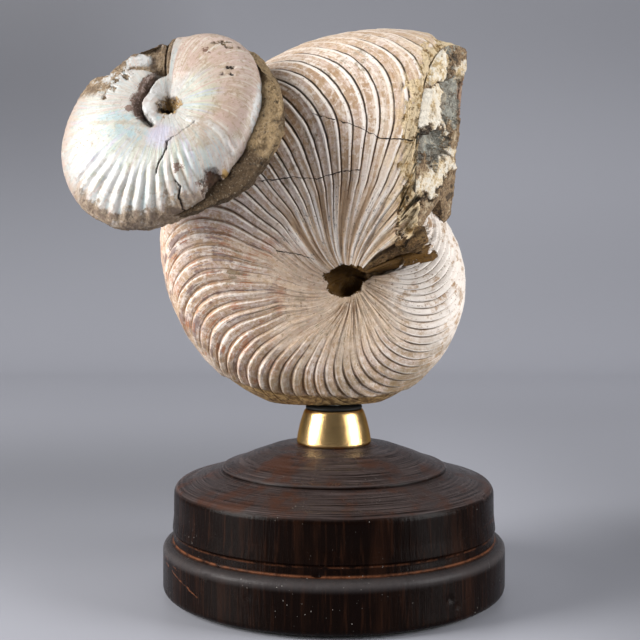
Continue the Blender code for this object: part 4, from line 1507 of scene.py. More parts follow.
@dataclass
class BrokenEnd:
    """The face where the body chamber broke: shell layers, mudstone pockets and brown stone."""

    shell: NautilusHalf
    middle_out: float = 0.027
    middle_z: float = 0.2405
    widest: float = 0.08
    front_share: float = 0.9
    thickness: float = 0.01
    layer_height: float = 0.0006
    lobe_height: float = 0.0014
    first_depth: float = 0.0022
    second_depth: float = 0.0046
    undercut_depth: float = 0.0036
    notch_depth: float = 0.002
    rock_relief: float = 0.004
    grain_relief: float = 0.0022
    halvings: int = 10
    columns: int = 600
    rows: int = 158

    def edge(self, grow: Growth, out_step: Wire, up_step: Wire) -> Wire:
        """How far the face reaches from its middle in one direction, found by halving.

        Args:
            grow: The tree.
            out_step: The direction's part away from the cut plane.
            up_step: Its part upwards.

        Returns:
            The distance to the shell's inner side.
        """
        shell = self.shell
        reach: Wire | float = self.widest / 2
        step = self.widest / 4
        for _ in range(self.halvings):
            out = self.middle_out + out_step * reach
            up = self.start_up() + up_step * reach
            across = shell.break_plane(out, up)
            turn = grow.math("ARCTAN2", -up, across) / DEGREE + 360
            room = shell.whorl_reach(grow, shell.grown(grow, turn)[0], grow.most(out, 0))
            inside = room > grow.length(across, up)
            inside *= out > 0.0004
            inside *= turn < shell.late_end(grow, out)
            reach += (inside * 2 - 1) * step
            step = step / 2
        return reach

    def start_up(self) -> float:
        """Height of the middle along the coil's own upward direction."""
        tilt = self.shell.lean * DEGREE
        return (self.middle_z - self.shell.coil_z + self.middle_out * math.sin(tilt)) / math.cos(tilt)

    def build(self, material: Material) -> Object:
        """Grows the broken face as a closed cushion of stone set into the shell.

        Args:
            material: Its material.

        Returns:
            The finished piece.
        """
        shell = self.shell
        grow = Growth("broken end growth", shell, self.columns, self.rows)
        turn = grow.round * 360
        out_step, up_step = grow.cosine(turn), grow.sine(turn)
        edge = self.edge(grow, out_step, up_step)
        front = grow.down < self.front_share
        share = grow.blend(front, (1 - grow.down) / (1 - self.front_share), grow.down / self.front_share)
        reach = edge * share * grow.rim
        out = self.middle_out + out_step * reach
        up = self.start_up() + up_step * reach
        rim = grow.rise((1 - share) * edge, 0.0022, 0)
        sunk = (1 - front) * self.thickness * grow.rise(share, 1, 0.85) + rim * 0.0012
        kept_out = grow.keep("out", out)
        tilt = shell.lean * DEGREE
        kept_height = grow.keep("height", shell.coil_z + up * math.cos(tilt) - out * math.sin(tilt))
        kept_front = grow.keep("front", front * (1 - rim))
        grow.move(shell.world(grow, shell.break_plane(out, up) - sunk, out, up))
        self.relief(grow, kept_out, kept_height, kept_front)
        return grow.bake("broken_end", material)

    def marks(self, graph: Graph, where: Wire, out: Wire, height: Wire) -> Shares:
        """Where the layers of the broken face are, for the relief and the finish alike.

        Args:
            graph: The tree that asks.
            where: The place.
            out: Distance from the cut plane.
            height: Height in space.

        Returns:
            Shares by name.
        """
        rise, within = graph.rise, graph.within
        drawn = graph.stretch(where, (1, 0.45, 1))
        ragged = graph.noise(drawn, 110, 4, 0.65, 3) - 0.5
        fine = graph.noise(drawn, 440, 4, 0.65, 5) - 0.5
        drift = graph.noise(where, 60, 3, 0.6, 7) - 0.5
        o = out * MILLIMETRES + ragged * 22 + fine * 6
        h = height * MILLIMETRES + drift * 22 + ragged * 9 + fine * 4
        spot = functools.partial(graph.spot, o, h)
        upper = rise(o, 32.4, 33.4) * rise(h, 260, 261)
        fold = rise(o, 37.5, 38.5) * within(h, 238, 257.8)
        top = 224.5 - rise(o, 20, 40) * 7.5
        bottom = 221 - rise(o, 6, 50) * 15.5
        band = within(h, bottom, top) * rise(o, 5, 7)
        spur = graph.crack(o, h, ((20, 237), (38, 243)), 2.2)
        blots = graph.most(spot((13, 228.5), (5.5, 2.6)) * 0.9, spot((10, 270), (9, 3.2)) * 0.85)
        cream = graph.any_of(upper, fold, band * 0.92, spur * 0.9, blots)
        first = spot((17.5, 255.5), (16.5, 15.5), ragged * 6)
        second = spot((40, 228.5), (24, 9.4), ragged * 6)
        taupe = within(o, 30, 39) * within(h, 243, 258) * 0.6
        mud = graph.any_of(first, second, taupe) * (1 - cream)
        lobe = spot((45.5, 245), (5, 6), 0, 0.5)
        folds = graph.most(lobe, rise(o, 56, 60) * fold)
        notch = within(h, 258.6, 260.2, 0.5) * within(o, 30, 56, 2)
        shadow = within(h, 233.5, 237.6, 0.8) * rise(o, 36, 41)
        undercut = within(h, bottom - 3.4, bottom - 0.8, 0.5) * rise(o, 6, 12)
        seam = graph.hump(o, 31.9, 1.2) * rise(h, 259, 262) * 0.7
        valley = graph.hump(o, 53, 2.6) * fold
        rim = rise(out, 0.005, 0.0025) * within(height * MILLIMETRES, 245, 266, 2)
        return Shares(
            cream=cream, mud=mud, lobes=folds, rim=rim, ragged=ragged, fine=fine,
            shade=graph.any_of(notch, shadow, undercut, seam, valley * 0.35), undercut=undercut,
            notch=notch, upper=upper, first=first * (1 - cream), second=second * (1 - cream),
        )

    def relief(self, grow: Growth, out: Wire, height: Wire, front: Wire) -> None:
        """Raises the shell layers and sinks the pockets.

        Args:
            grow: The tree, with the plain face in place.
            out: Distance from the cut plane.
            height: Height in space.
            front: 1 on the face, 0 on its hidden side and at its rim.
        """
        marks = self.marks(grow, grow.place(), out, height)
        lift = (marks.cream + marks.upper) * self.layer_height + marks.lobes * self.lobe_height
        lift -= marks.first * self.first_depth + marks.second * self.second_depth
        lift -= marks.undercut * self.undercut_depth + marks.notch * self.notch_depth
        lift += marks.ragged * self.rock_relief + marks.fine * self.grain_relief
        grow.push((lift - 0.0002) * front)


# ------------------------------------------------------------------ the ammonite and its stone


@dataclass
class SmallAmmonite:
    """The small pearly shell: folds, a channel by the umbilicus, a broken edge and bare stone."""

    centre: Vector
    outward: Vector
    start_radius: float = 0.0435
    expansion: float = 1.84
    width_ratio: float = 0.28
    crest_ratio: float = 0.42
    squareness: float = 2.2
    pit_radius: float = 0.0055
    pit_depth: float = 0.0092
    broken_from: float = 244.0
    broken_to: float = 350.0
    broken_radius: float = 0.0465
    oval: float = 0.815
    oval_turn: float = 155.0
    fold_turn: float = 6.7
    fold_height: float = 0.0009
    swell: float = 0.001
    ridge_height: float = 0.0004
    channel_depth: float = 0.0044
    notch_depth: float = 0.003
    gap_depth: float = 0.001
    hole_depth: float = 0.0022
    bare_depth: float = 0.0006
    rock_relief: float = 0.0048
    grain_relief: float = 0.002
    columns: int = 720
    rows: int = 132
    kept_names: ClassVar[tuple[str, ...]] = ("across", "up", "span", "front")

    def axes(self) -> tuple[Vector, Vector, Vector]:
        """Its own directions in space.

        Returns:
            Right, up and outward.
        """
        outward = self.outward.normalized()
        right = Vector((0.0, 0.0, 1.0)).cross(outward).normalized()
        return right, outward.cross(right), outward

    def flat(self, grow: Growth, radius: Wire, turn: Wire) -> tuple[Wire, Wire]:
        """A place of its own frame, which is a little oval.

        Args:
            grow: The tree.
            radius: Distance from its middle.
            turn: Growth angle from its top.

        Returns:
            Across and up.
        """
        angle, squeeze = 90 - turn - self.oval_turn, self.oval_turn * DEGREE
        along, side = radius * grow.cosine(angle) * grow.size("oval"), radius * grow.sine(angle)
        cosine, sine = math.cos(squeeze), math.sin(squeeze)
        return along * cosine - side * sine, along * sine + side * cosine

    def world(self, grow: Growth, across: Wire, up: Wire, out: Wire) -> Wire:
        """The place in space of a point of its own frame."""
        steps = (grow.vector(*(part * share for share in axis)) for part, axis in zip((across, up, out), self.axes()))
        return functools.reduce(grow.shifted, steps, grow.vector(*self.centre))

    def build(self, material: Material) -> Object:
        """Grows the shell.

        Args:
            material: Its material.

        Returns:
            The finished piece.
        """
        grow = Growth("ammonite growth", self, self.columns, self.rows)
        rise, most, size = grow.rise, grow.most, grow.size
        turn = grow.round * 360
        grown = size("start_radius") * size("expansion") ** (turn / 360)
        broken = rise(turn, size("broken_from"), size("broken_to"))
        radius = grow.blend(broken, grown, size("broken_radius") - rise(turn, 335, 358) * 0.003)
        front_end = 0.58
        on_front = grow.down < front_end
        share = grow.blend(on_front, (1 - grow.down) / (1 - front_end), grow.down / front_end)
        into_pit = rise(share, 0.07, 0)
        span = most((share - 0.05) / 0.95, 0)
        width = radius * size("width_ratio")
        crest = radius * size("crest_ratio")
        pit = size("pit_radius") + grow.sine(turn) * 0.002
        inner = grow.least(span / 0.3, 1)
        quarter = most((span - 0.3) / 0.7, 0) * 90
        power = 2 / self.squareness
        reach = crest + (radius - crest) * most(grow.sine(quarter), 0) ** power
        out = width * most(grow.cosine(quarter), 0) ** power
        is_inner = span < 0.3
        reach = grow.blend(is_inner, reach, pit + (crest - pit) * inner)
        out = grow.blend(is_inner, out, width * (0.9 + 0.1 * inner))
        out -= rise(into_pit, 0, 0.8) * (out - size("pit_depth"))
        reach = reach * (1 - into_pit * 0.8) * grow.rim
        bite = rise(turn, 284, 296)
        limit = 0.0425 + grow.hump(turn, 334, 14) * 0.003 - rise(turn, 344, 351) * 0.0012
        top = 0.0413 + rise(turn, 0, 30) * 0.006 + rise(turn, 25, 40) * 0.05
        reach = grow.least(grow.least(reach, limit + (1 - bite) * 0.05), top + rise(turn, 300, 290))
        side = on_front * 2 - 1
        across, up = self.flat(grow, reach, turn)
        values = (across, up, span, on_front)
        kept = {name: grow.keep(name, value) for name, value in zip(self.kept_names, values)}
        hollow = grow.keep("hollow", into_pit * on_front)
        swing = turn - most(span - 0.35, 0) ** 1.5 * 26
        grow.keep_lines(swing, 26, span * 1.3)
        grow.move(self.world(grow, across, up, out * side))
        self.relief(grow, hollow, kept)
        return grow.bake("ammonite_shell", material)

    def blots(self, graph: Graph, x: Wire, y: Wire, ragged: Wire,
              *spots: tuple[float, float, float, float]) -> Wire:
        """Several ragged blots: each across, up, half width and half height in millimetres."""
        return graph.any_of(*(graph.spot(x, y, spot[:2], spot[2:], ragged * 7) for spot in spots))

    def marks(self, graph: Graph, where: Wire, kept: dict[str, Wire]) -> Shares:
        """Where the folds, breaks, stains and bright shell are, for the relief and the finish alike.

        Args:
            graph: The tree that asks.
            where: The place.
            kept: Values kept on the points. across and up are places in its own frame in metres, span
                runs from the umbilicus to the outer edge, and front is 1 on the shown flank.

        Returns:
            Shares by name.
        """
        rise, hump, within, most, any_of = graph.rise, graph.hump, graph.within, graph.most, graph.any_of
        across, up, span, front = (kept[name] for name in self.kept_names)
        ragged = graph.noise(where, 120, 4, 0.65, 3) - 0.5
        fine = graph.noise(where, 420, 4, 0.68, 5) - 0.5
        x = across * MILLIMETRES + ragged * 2.5 + fine * 2.6
        y = up * MILLIMETRES + ragged * -2.5 + fine * 2.2
        spot, crack = functools.partial(graph.spot, x, y), functools.partial(graph.crack, x, y)
        reach = graph.length(x, y)
        turn = graph.math("FRACT", graph.math("ARCTAN2", across, up) / FULL_TURN + 1) * 360
        drift = graph.noise(where, 45, 2, 0.5, 15) - 0.5
        phase = graph.math("FRACT", turn / self.fold_turn + 0.54 + drift * 1.1 + ragged * 0.2)
        fold = most(graph.math("SINE", phase * math.pi), 0) ** 1.6
        folded = rise(turn, 142, 156) * rise(turn, 262, 212) * rise(span, 0.34, 0.54)
        folded *= rise(span + ragged * 0.3, 0.94, 0.76)

        past = reach - rise(turn, 300, 345) * 5 - 11.2
        along = rise(turn, 190, 205) * rise(turn, 351.5, 347.5) * front
        wide = 3 + rise(turn, 225, 285) * 2.4 + ragged * 9
        wall = rise(past, -0.2, 0.5) * rise(past, wide + 0.6, wide - 0.6) * along
        notch = rise(turn, 318, 338) * rise(past, 0, 2) * along
        dip = rise(past, wide + 0.5, 0.4) * rise(past, -1.3, 0.3) * along
        # Its first part, a dark line at the foot of the broken whorl's edge, is a painted shadow line; the cracks and
        # dark spots added to it further down are real.
        gap = hump(past, 0.3, 1) * along * 0.9
        gap = most(gap, hump(turn, 347.3 + ragged * 7, 1.3) * rise(past, 0, 1) * front)

        flake = spot((-19.2, 24.2), (6.2, 4.6), ragged)
        patch = within(x, -22, -4.9) * within(y, 17.5, 37) * (1 - flake)
        blots = functools.partial(self.blots, graph, x, y, fine * 1.2 + ragged * 0.4)
        foot = rise(span + ragged * 0.7, 0.69, 0.78) * within(turn, 156, 224, 12)
        edging = rise(reach + ragged * 24 - rise(turn, 292, 336) * 6, 29.6, 30.8)
        edging = most(edging * within(turn, 276, 340, 4), foot * 0.85)
        back = (1 - front) * rise(ragged, -0.14, -0.06) * 0.9
        spots = blots(
            (-22.2, 15, 2.2, 1.6), (-26.8, 11.5, 1.5, 1.2), (-26.5, 7, 1.3, 1.5), (-31.5, 18.8, 1.4, 1.4),
            (-30.7, 1.5, 1.1, 1), (20.5, 33.5, 3, 1), (26.6, 31.5, 2.2, 1), (-8.5, 4.6, 0.9, 0.8),
        )
        # Brown stone on the steep wall at the whorl's edge by the break: painted shade on that wall.
        ledge = within(turn, 343.5, 354) * rise(reach, 15, 17) * front
        bare = any_of(patch, spots * front, back, ledge)
        rust = blots(
            (-16.6, -4.4, 1.6, 2.4), (11.2, -32.8, 1.1, 1.3), (14, -32.4, 1, 0.9), (21.2, -38.5, 1.3, 1),
            (13.9, 29.2, 1.1, 0.9), (17.8, 27.5, 1.2, 0.8), (15.5, 30.4, 0.8, 0.7),
        )
        pit = spot((2.4, 0.2), (5.2, 6.2), ragged * 3) * front
        dark = blots(
            (-1, -1.9, 1.5, 1.2), (2.8, -3.5, 1.6, 1), (25.5, 15.2, 1.5, 0.5), (30.5, 15.2, 1.2, 0.5),
            (27.4, 18.8, 1, 0.5), (29.3, 19.4, 0.9, 0.4),
        )
        thick = 0.52 + drift * 1.4 + fine * 1.5
        main = crack(((7.8, -17.4), (5.1, -20), (5.5, -23), (3.5, -30), (2.4, -36)), thick)
        lower = crack(((11.2, -38.5), (13.9, -41), (12.8, -45), (13.5, -49), (17.8, -56)), thick * 0.7)
        chip = crack(((9, -17), (17, -10)), 0.35) * 0.35
        gap = graph.least(any_of(gap, any_of(dark, main, lower, chip) * front), 1)
        hole = spot((27.3, -39), (3.8, 7.2), ragged * 4) * front
        ridge = crack(((13.5, -8.5), (23.5, -10), (30.5, -14.7), (34.3, -22.4)), 1.7)
        vein = crack(((19.7, -19.3), (29, -25.5), (32.8, -29.7)), 0.8)
        tan = crack(((-35, -12), (-24, -11.6), (-15, -11.6), (-2.6, -12.4)), 1.5)
        tan = most(tan * 0.6, hump(phase, 0, 0.3) * folded * rise(span, 0.74, 0.9))
        tan = most(tan, spot((17, -16.5), (8.5, 6), ragged * 4, 0.5) * 0.7)

        right = rise(turn, 128, 104) * rise(span, 0.08, 0.3)
        left = rise(turn, 226, 262) * rise(span, 0.52, 0.8)
        # A pale shiny band along the right rim: painted highlight, kept out of the rosy coat.
        rim_highlight = within(x, 41, 49) * within(y, -17, 15, 1.5)
        rosy = any_of(right, left * 0.8, rise(span, 0.66, 0.88) * 0.8) * (1 - rim_highlight)
        inner = within(reach, 6.5, 10.8) * within(turn, 195, 346, 8)
        white = any_of(
            hump(turn, 206, 62) * hump(span, 0.54, 0.34), flake, rim_highlight * 0.9, inner,
            hump(turn, 300, 24) * hump(span, 0.5, 0.22) * 0.9, ridge * 0.55, vein * 0.4,
        )
        # The low parts of the folds, painted grey-blue and tan: painted shade in the fold troughs.
        trough = rise(fold, 0.55, 0) * folded * rise(span, 0.92, 0.7)
        middle = hump(span, 0.4, 0.38) * within(turn, 130, 270, 20) * 0.8
        return Shares(
            fold=fold, folded=folded, trough=trough, past=past, dip=dip,
            notch=notch, wall=wall * rise(turn, 208, 240) * rise(turn, 340, 326),
            gap=gap, bare=bare, edging=edging * front, rust=rust * front, pit=pit, hole=hole,
            gold=spot((32, -32), (1.3, 2), ragged) * front, ridge=ridge * front,
            tan=tan * front, rosy=rosy, white=white * front, ragged=ragged, fine=fine,
            sea=blots((-22, -8.6, 10.5, 1.9), (-18, -16.5, 9, 4.2)) * front,
            lilac=spot((2, -17), (6.5, 5.5), ragged, 0.5) * front,
            play=most(spot((16, 5), (10, 11), ragged, 0.6), middle) * front,
            freckled=spot((-36, -19), (10, 5.5), 0, 0.6) * front,
        )

    def relief(self, grow: Growth, hollow: Wire, kept: dict[str, Wire]) -> None:
        """Raises the folds, cuts the channel and the cracks, and roughens the bare stone.

        Args:
            grow: The tree, with the plain shape in place.
            hollow: 1 deep in the umbilicus.
            kept: The values that marks reads.
        """
        where, size = grow.place(), grow.size
        marks = self.marks(grow, where, kept)
        broad = grow.noise(where, 34, 2, 0.5, 9) - 0.5
        ragged, fine = marks.ragged, marks.fine
        solid = grow.any_of(marks.bare, marks.hole, hollow, marks.pit, marks.edging * 0.6)
        lift = (marks.fold - 0.5) * marks.folded * size("fold_height") + broad * size("swell") + fine * 0.0006
        lift += marks.ridge * size("ridge_height") - marks.dip * size("channel_depth")
        lift -= marks.notch * size("notch_depth") + marks.gap * size("gap_depth")
        lift -= marks.hole * size("hole_depth") + marks.bare * size("bare_depth")
        grow.push(lift + solid * (ragged * size("rock_relief") + fine * size("grain_relief")))


@dataclass
class MatrixStone:
    """The sandstone wedge that holds the ammonite to the nautilus."""

    ammonite: SmallAmmonite
    front: float = -0.003
    depth: float = 0.048
    half_width: float = 0.0465
    half_height: float = 0.044
    taper: float = 48.0
    shift_across: float = 0.0075
    shift_up: float = -0.006
    slant_across: float = -0.25
    slant_up: float = 0.4
    cap: float = 0.16
    block_relief: float = 0.014
    lump_relief: float = 0.008
    grain_relief: float = 0.0022
    pit_depth: float = 0.0012
    columns: int = 420
    rows: int = 190

    def build(self, material: Material) -> Object:
        """Grows the wedge.

        Args:
            material: Its material.

        Returns:
            The finished piece.
        """
        grow = Growth("sandstone growth", self, self.columns, self.rows, flip=False)
        cap = self.cap
        share = grow.least(grow.most((grow.down - cap) / (1 - 2 * cap), 0), 1)
        inset = grow.most(cap - grow.down, grow.down - 1 + cap) / cap
        spread = grow.math("SQRT", 1 - grow.most(inset, 0)) * grow.rim
        depth = self.front + (self.depth - self.front) * share
        taper = grow.cosine(grow.most(depth, 0) / self.depth * self.taper)
        turn = grow.round * 360
        rough = 1 + grow.sine(turn * 3 - depth * 5157) * 0.025 + grow.sine(turn * 7 + 57) * 0.015
        across = grow.cosine(turn) * taper * rough * spread * self.half_width
        across = across + self.shift_across + depth * self.slant_across
        up = grow.sine(turn) * taper * rough * spread * self.half_height
        up = up + self.shift_up + depth * self.slant_up
        grow.move(self.ammonite.world(grow, across, up, -depth))
        where = grow.place()
        lumps = grow.noise(where, 60, 4, 0.6, 3) - 0.5
        blocks = grow.noise(where, 24, 1, 0.4, 13) - 0.5
        grains = grow.noise(where, 330, 4, 0.7, 5) - 0.5
        pits = grow.rise(grow.noise(where, 140, 3, 0.6, 8), 0.6, 0.7)
        lift = blocks * grow.size("block_relief") + lumps * grow.size("lump_relief")
        grow.push(lift + grains * grow.size("grain_relief") - pits * grow.size("pit_depth"))
        return grow.bake("matrix_block", material)


# ------------------------------------------------------------------ the stand


def turned_mesh(name: str, profile: Sequence[Spot], steps: int, material: Material,
                change: Callable[[float, float, float], float] = lambda *_: 0.0) -> Object:
    """Turns a closed outline about the Z axis.

    Args:
        name: The piece's name.
        profile: (radius, height) points, down the outer side first.
        steps: Steps in a turn.
        material: Its material.
        change: Gives what is added to a point's radius, from radius, angle and height.

    Returns:
        The turned piece, smooth shaded, at the origin.
    """
    rows = []
    for index in range(steps):
        angle = FULL_TURN * index / steps
        wides = [radius + change(radius, angle, height) for radius, height in profile]
        rows.append([(wide * math.cos(angle), wide * math.sin(angle), height)
                     for wide, (_, height) in zip(wides, profile)])
    return woven(name, rows, True, TURNED_SHARP, material)


def smooth_outline(points: Sequence[Spot], spacing: float) -> list[Spot]:
    """Fills an outline with points at an even spacing, keeping its corners.

    Args:
        points: Corners of an open outline.
        spacing: Distance between neighbours.

    Returns:
        The filled outline.
    """
    filled = []
    for (r0, z0), (r1, z1) in zip(points, points[1:]):
        count = max(1, round(math.hypot(r1 - r0, z1 - z0) / spacing))
        filled += [(r0 + (r1 - r0) * step / count, z0 + (z1 - z0) * step / count) for step in range(count)]
    return filled + [points[-1]]


def arc(centre: Spot, radius: float, start: float, end: float, count: int) -> list[Spot]:
    """Points of an arc in the (radius, height) plane.

    Args:
        centre: Its centre.
        radius: Its radius.
        start: First angle in degrees.
        end: Last angle in degrees.
        count: How many steps.

    Returns:
        The points.
    """
    points = []
    for step in range(count + 1):
        angle = (start + (end - start) * step / count) * DEGREE
        points.append((centre[0] + radius * math.cos(angle), centre[1] + radius * math.sin(angle)))
    return points


@dataclass
class TurnedBase:
    """The two-disc wooden base with its raised ring and worn steps."""

    bottom: float
    top: float
    radius: float
    bore: float = 0.0043
    collar_radius: float = 0.0194
    ring_radius: float = 0.0575
    step_height: float = 0.0292
    groove_height: float = 0.0335
    waist_height: float = 0.042
    shoulder_height: float = 0.0262
    pocket_radius: float = 0.014
    pocket_top: float = 0.0135
    wear_from: float = 0.05
    steps: int = 400

    def profile(self) -> list[Spot]:
        """The turned outline.

        Returns:
            Its (radius, height) points.
        """
        outer = [
            (self.collar_radius * 0.6, self.top), (self.collar_radius, self.top - 0.0001),
            (0.033, 0.0758), (0.045, 0.0714), (0.054, 0.0674),
            *arc((self.ring_radius - 0.0012, 0.0652), 0.0017, 80.0, -15.0, 7),
            (0.0592, 0.0641), (0.069, 0.0614), (0.0745, 0.0594),
            *arc((0.077, 0.0532), 0.0055, 68.0, 0.0, 12), (0.0828, 0.042),
            *arc((0.0829, 0.0352), 0.0006, 10.0, -60.0, 4), (0.0827, 0.0332), (0.0831, 0.0302),
            *arc((0.0842, 0.0296), 0.0011, 200.0, 280.0, 4), (0.0852, 0.0282),
            *arc((0.0848, 0.0242), 0.0038, 75.0, 0.0, 10),
            *arc((self.radius - 0.004, self.bottom + 0.004), 0.004, 0.0, -90.0, 10),
            (self.pocket_radius, self.bottom),
        ]
        inner = [(self.pocket_radius, self.pocket_top), (self.bore, self.pocket_top), (self.bore, self.top)]
        return smooth_outline(outer, 0.0011) + inner

    def wear(self, radius: float, angle: float, height: float) -> float:
        """Small dents and unevenness of the outer side.

        Args:
            radius: Distance from the axis.
            angle: Angle about it, in radians.
            height: Height.

        Returns:
            What is added to the radius.
        """
        if radius < self.wear_from:
            return 0.0
        uneven = 0.00006 * math.sin(3.0 * angle + height * 90.0)
        uneven += 0.00004 * math.sin(17.0 * angle + height * 300.0)
        dents = 0.0
        for turn, level, reach, deep in (
            (-96.0, 0.03, 0.0022, 0.0012), (-96.5, 0.0262, 0.0016, 0.0007), (-134.0, 0.024, 0.0022, 0.0009),
            (-52.0, 0.015, 0.0026, 0.0012), (-49.0, 0.0105, 0.002, 0.0009), (-118.0, 0.018, 0.0014, 0.0006),
            (-24.0, 0.056, 0.002, 0.0005), (70.0, 0.029, 0.003, 0.0009), (150.0, 0.012, 0.003, 0.0008),
        ):
            sideways = math.remainder(angle - turn * DEGREE, FULL_TURN) * radius
            away = math.hypot(sideways, height - level) / reach
            dents += deep * math.exp(-away * away * 2.0)
        return uneven - dents

    def build(self, finish: WoodFinish) -> Object:
        """Turns the base and marks its top faces.

        Args:
            finish: The wood's finish.

        Returns:
            The finished piece.
        """
        piece = turned_mesh("turned_base", self.profile(), self.steps, finish.build(self), self.wear)
        top = piece.data.attributes.new("top", "FLOAT", "POINT")
        for vertex in piece.data.vertices:
            upward = (vertex.normal.z - 0.35) / 0.3 if vertex.co.z > self.waist_height + 0.008 else 0.0
            top.data[vertex.index].value = max(0.0, min(1.0, upward))
        return piece


@dataclass
class Hardware:
    """The brass collar and the rubber washer on the base, and the rod and the felt inside and under it."""

    collar_low: Vector
    collar_high: Vector
    washer_low: Vector
    washer_high: Vector
    sink: float = 0.0009
    lift: float = 0.0006
    bore: float = 0.0043
    head_radius: float = 0.0151
    bevel: float = 0.0012
    collar_rows: int = 24
    collar_steps: int = 192
    washer_steps: int = 128
    felt_steps: int = 240
    rod_radius: float = 0.004
    rod_sides: int = 24
    pitch: float = 0.00125
    pitch_rows: int = 6
    thread_depth: float = 0.00065

    def collar(self, material: Material) -> Object:
        """Turns the tapered collar with softly rounded edges.

        Args:
            material: Its material.

        Returns:
            The finished piece.
        """
        bottom, top = self.collar_low.z - self.sink, self.collar_high.z + self.lift
        foot, head = self.collar_high.x, self.head_radius
        outer = [(self.bore, top), (head - self.bevel, top)]
        for row in range(self.collar_rows + 1):
            share = row / self.collar_rows
            edge = 0.0005 * (max(0.0, 1.0 - share * 12.0) ** 2 + max(0.0, share * 14.0 - 13.0) ** 2)
            wide = head + (foot - head) * share + 0.0006 * math.sin(math.pi * share) - edge
            outer.append((wide, top - (top - bottom) * share))
        outer += [(foot - self.bevel, bottom), (self.bore, bottom)]
        return turned_mesh("collar_sleeve", outer, self.collar_steps, material)

    def washer(self, material: Material) -> Object:
        """Turns the rubber washer with a rounded rim.

        Args:
            material: Its material.

        Returns:
            The finished piece.
        """
        low, high = self.washer_low.z + self.lift, self.washer_high.z
        middle, half = (low + high) / 2.0, (high - low) / 2.0
        rim = arc((self.washer_high.x - half, middle), half, 90.0, -90.0, 8)
        outline = [(self.bore, high), *rim, (self.bore, low)]
        return turned_mesh("washer_ring", outline, self.washer_steps, material)

    def rod(self, material: Material) -> Object:
        """Makes the threaded rod, its thread one helix.

        Args:
            material: Its material.

        Returns:
            The finished piece.
        """
        low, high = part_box("threaded_rod")
        sides = self.rod_sides
        rows = round((high[2] - low[2]) / self.pitch) * self.pitch_rows
        rings = []
        for row in range(rows + 1):
            height = low[2] + (high[2] - low[2]) * row / rows
            ring = []
            for side in range(sides):
                angle = FULL_TURN * side / sides
                wave = abs(math.remainder(height / self.pitch - side / sides, 1.0)) * 2.0
                wide = self.rod_radius - self.thread_depth * wave
                ring.append((wide * math.cos(angle), wide * math.sin(angle), height))
            rings.append(ring)
        return woven("rod_thread", rings, False, THREAD_SHARP, material)

    def felt(self, material: Material) -> Object:
        """Turns the felt disc with a soft, slightly wavy edge.

        Args:
            material: Its material.

        Returns:
            The finished piece.
        """
        low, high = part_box("felt_pad")
        half = (high[2] - low[2]) / 2.0
        rim = arc((high[0] - half, low[2] + half), half, 90.0, -90.0, 6)
        inner = [(0.0004, low[2]), (0.0004, high[2])]

        def edge(radius: float, angle: float, _: float) -> float:
            """Draws the edge in by up to a quarter of a millimetre."""
            return -0.00012 * (1.0 + math.sin(41.0 * angle) * math.sin(17.0 * angle)) if radius > 0.08 else 0.0

        top = [(0.02, high[2]), (0.05, high[2])]
        base = [(0.05, low[2]), (0.02, low[2])]
        return turned_mesh("felt_disc", [*top, *rim, *base, *inner], self.felt_steps, material, edge)


# ------------------------------------------------------------------ studio


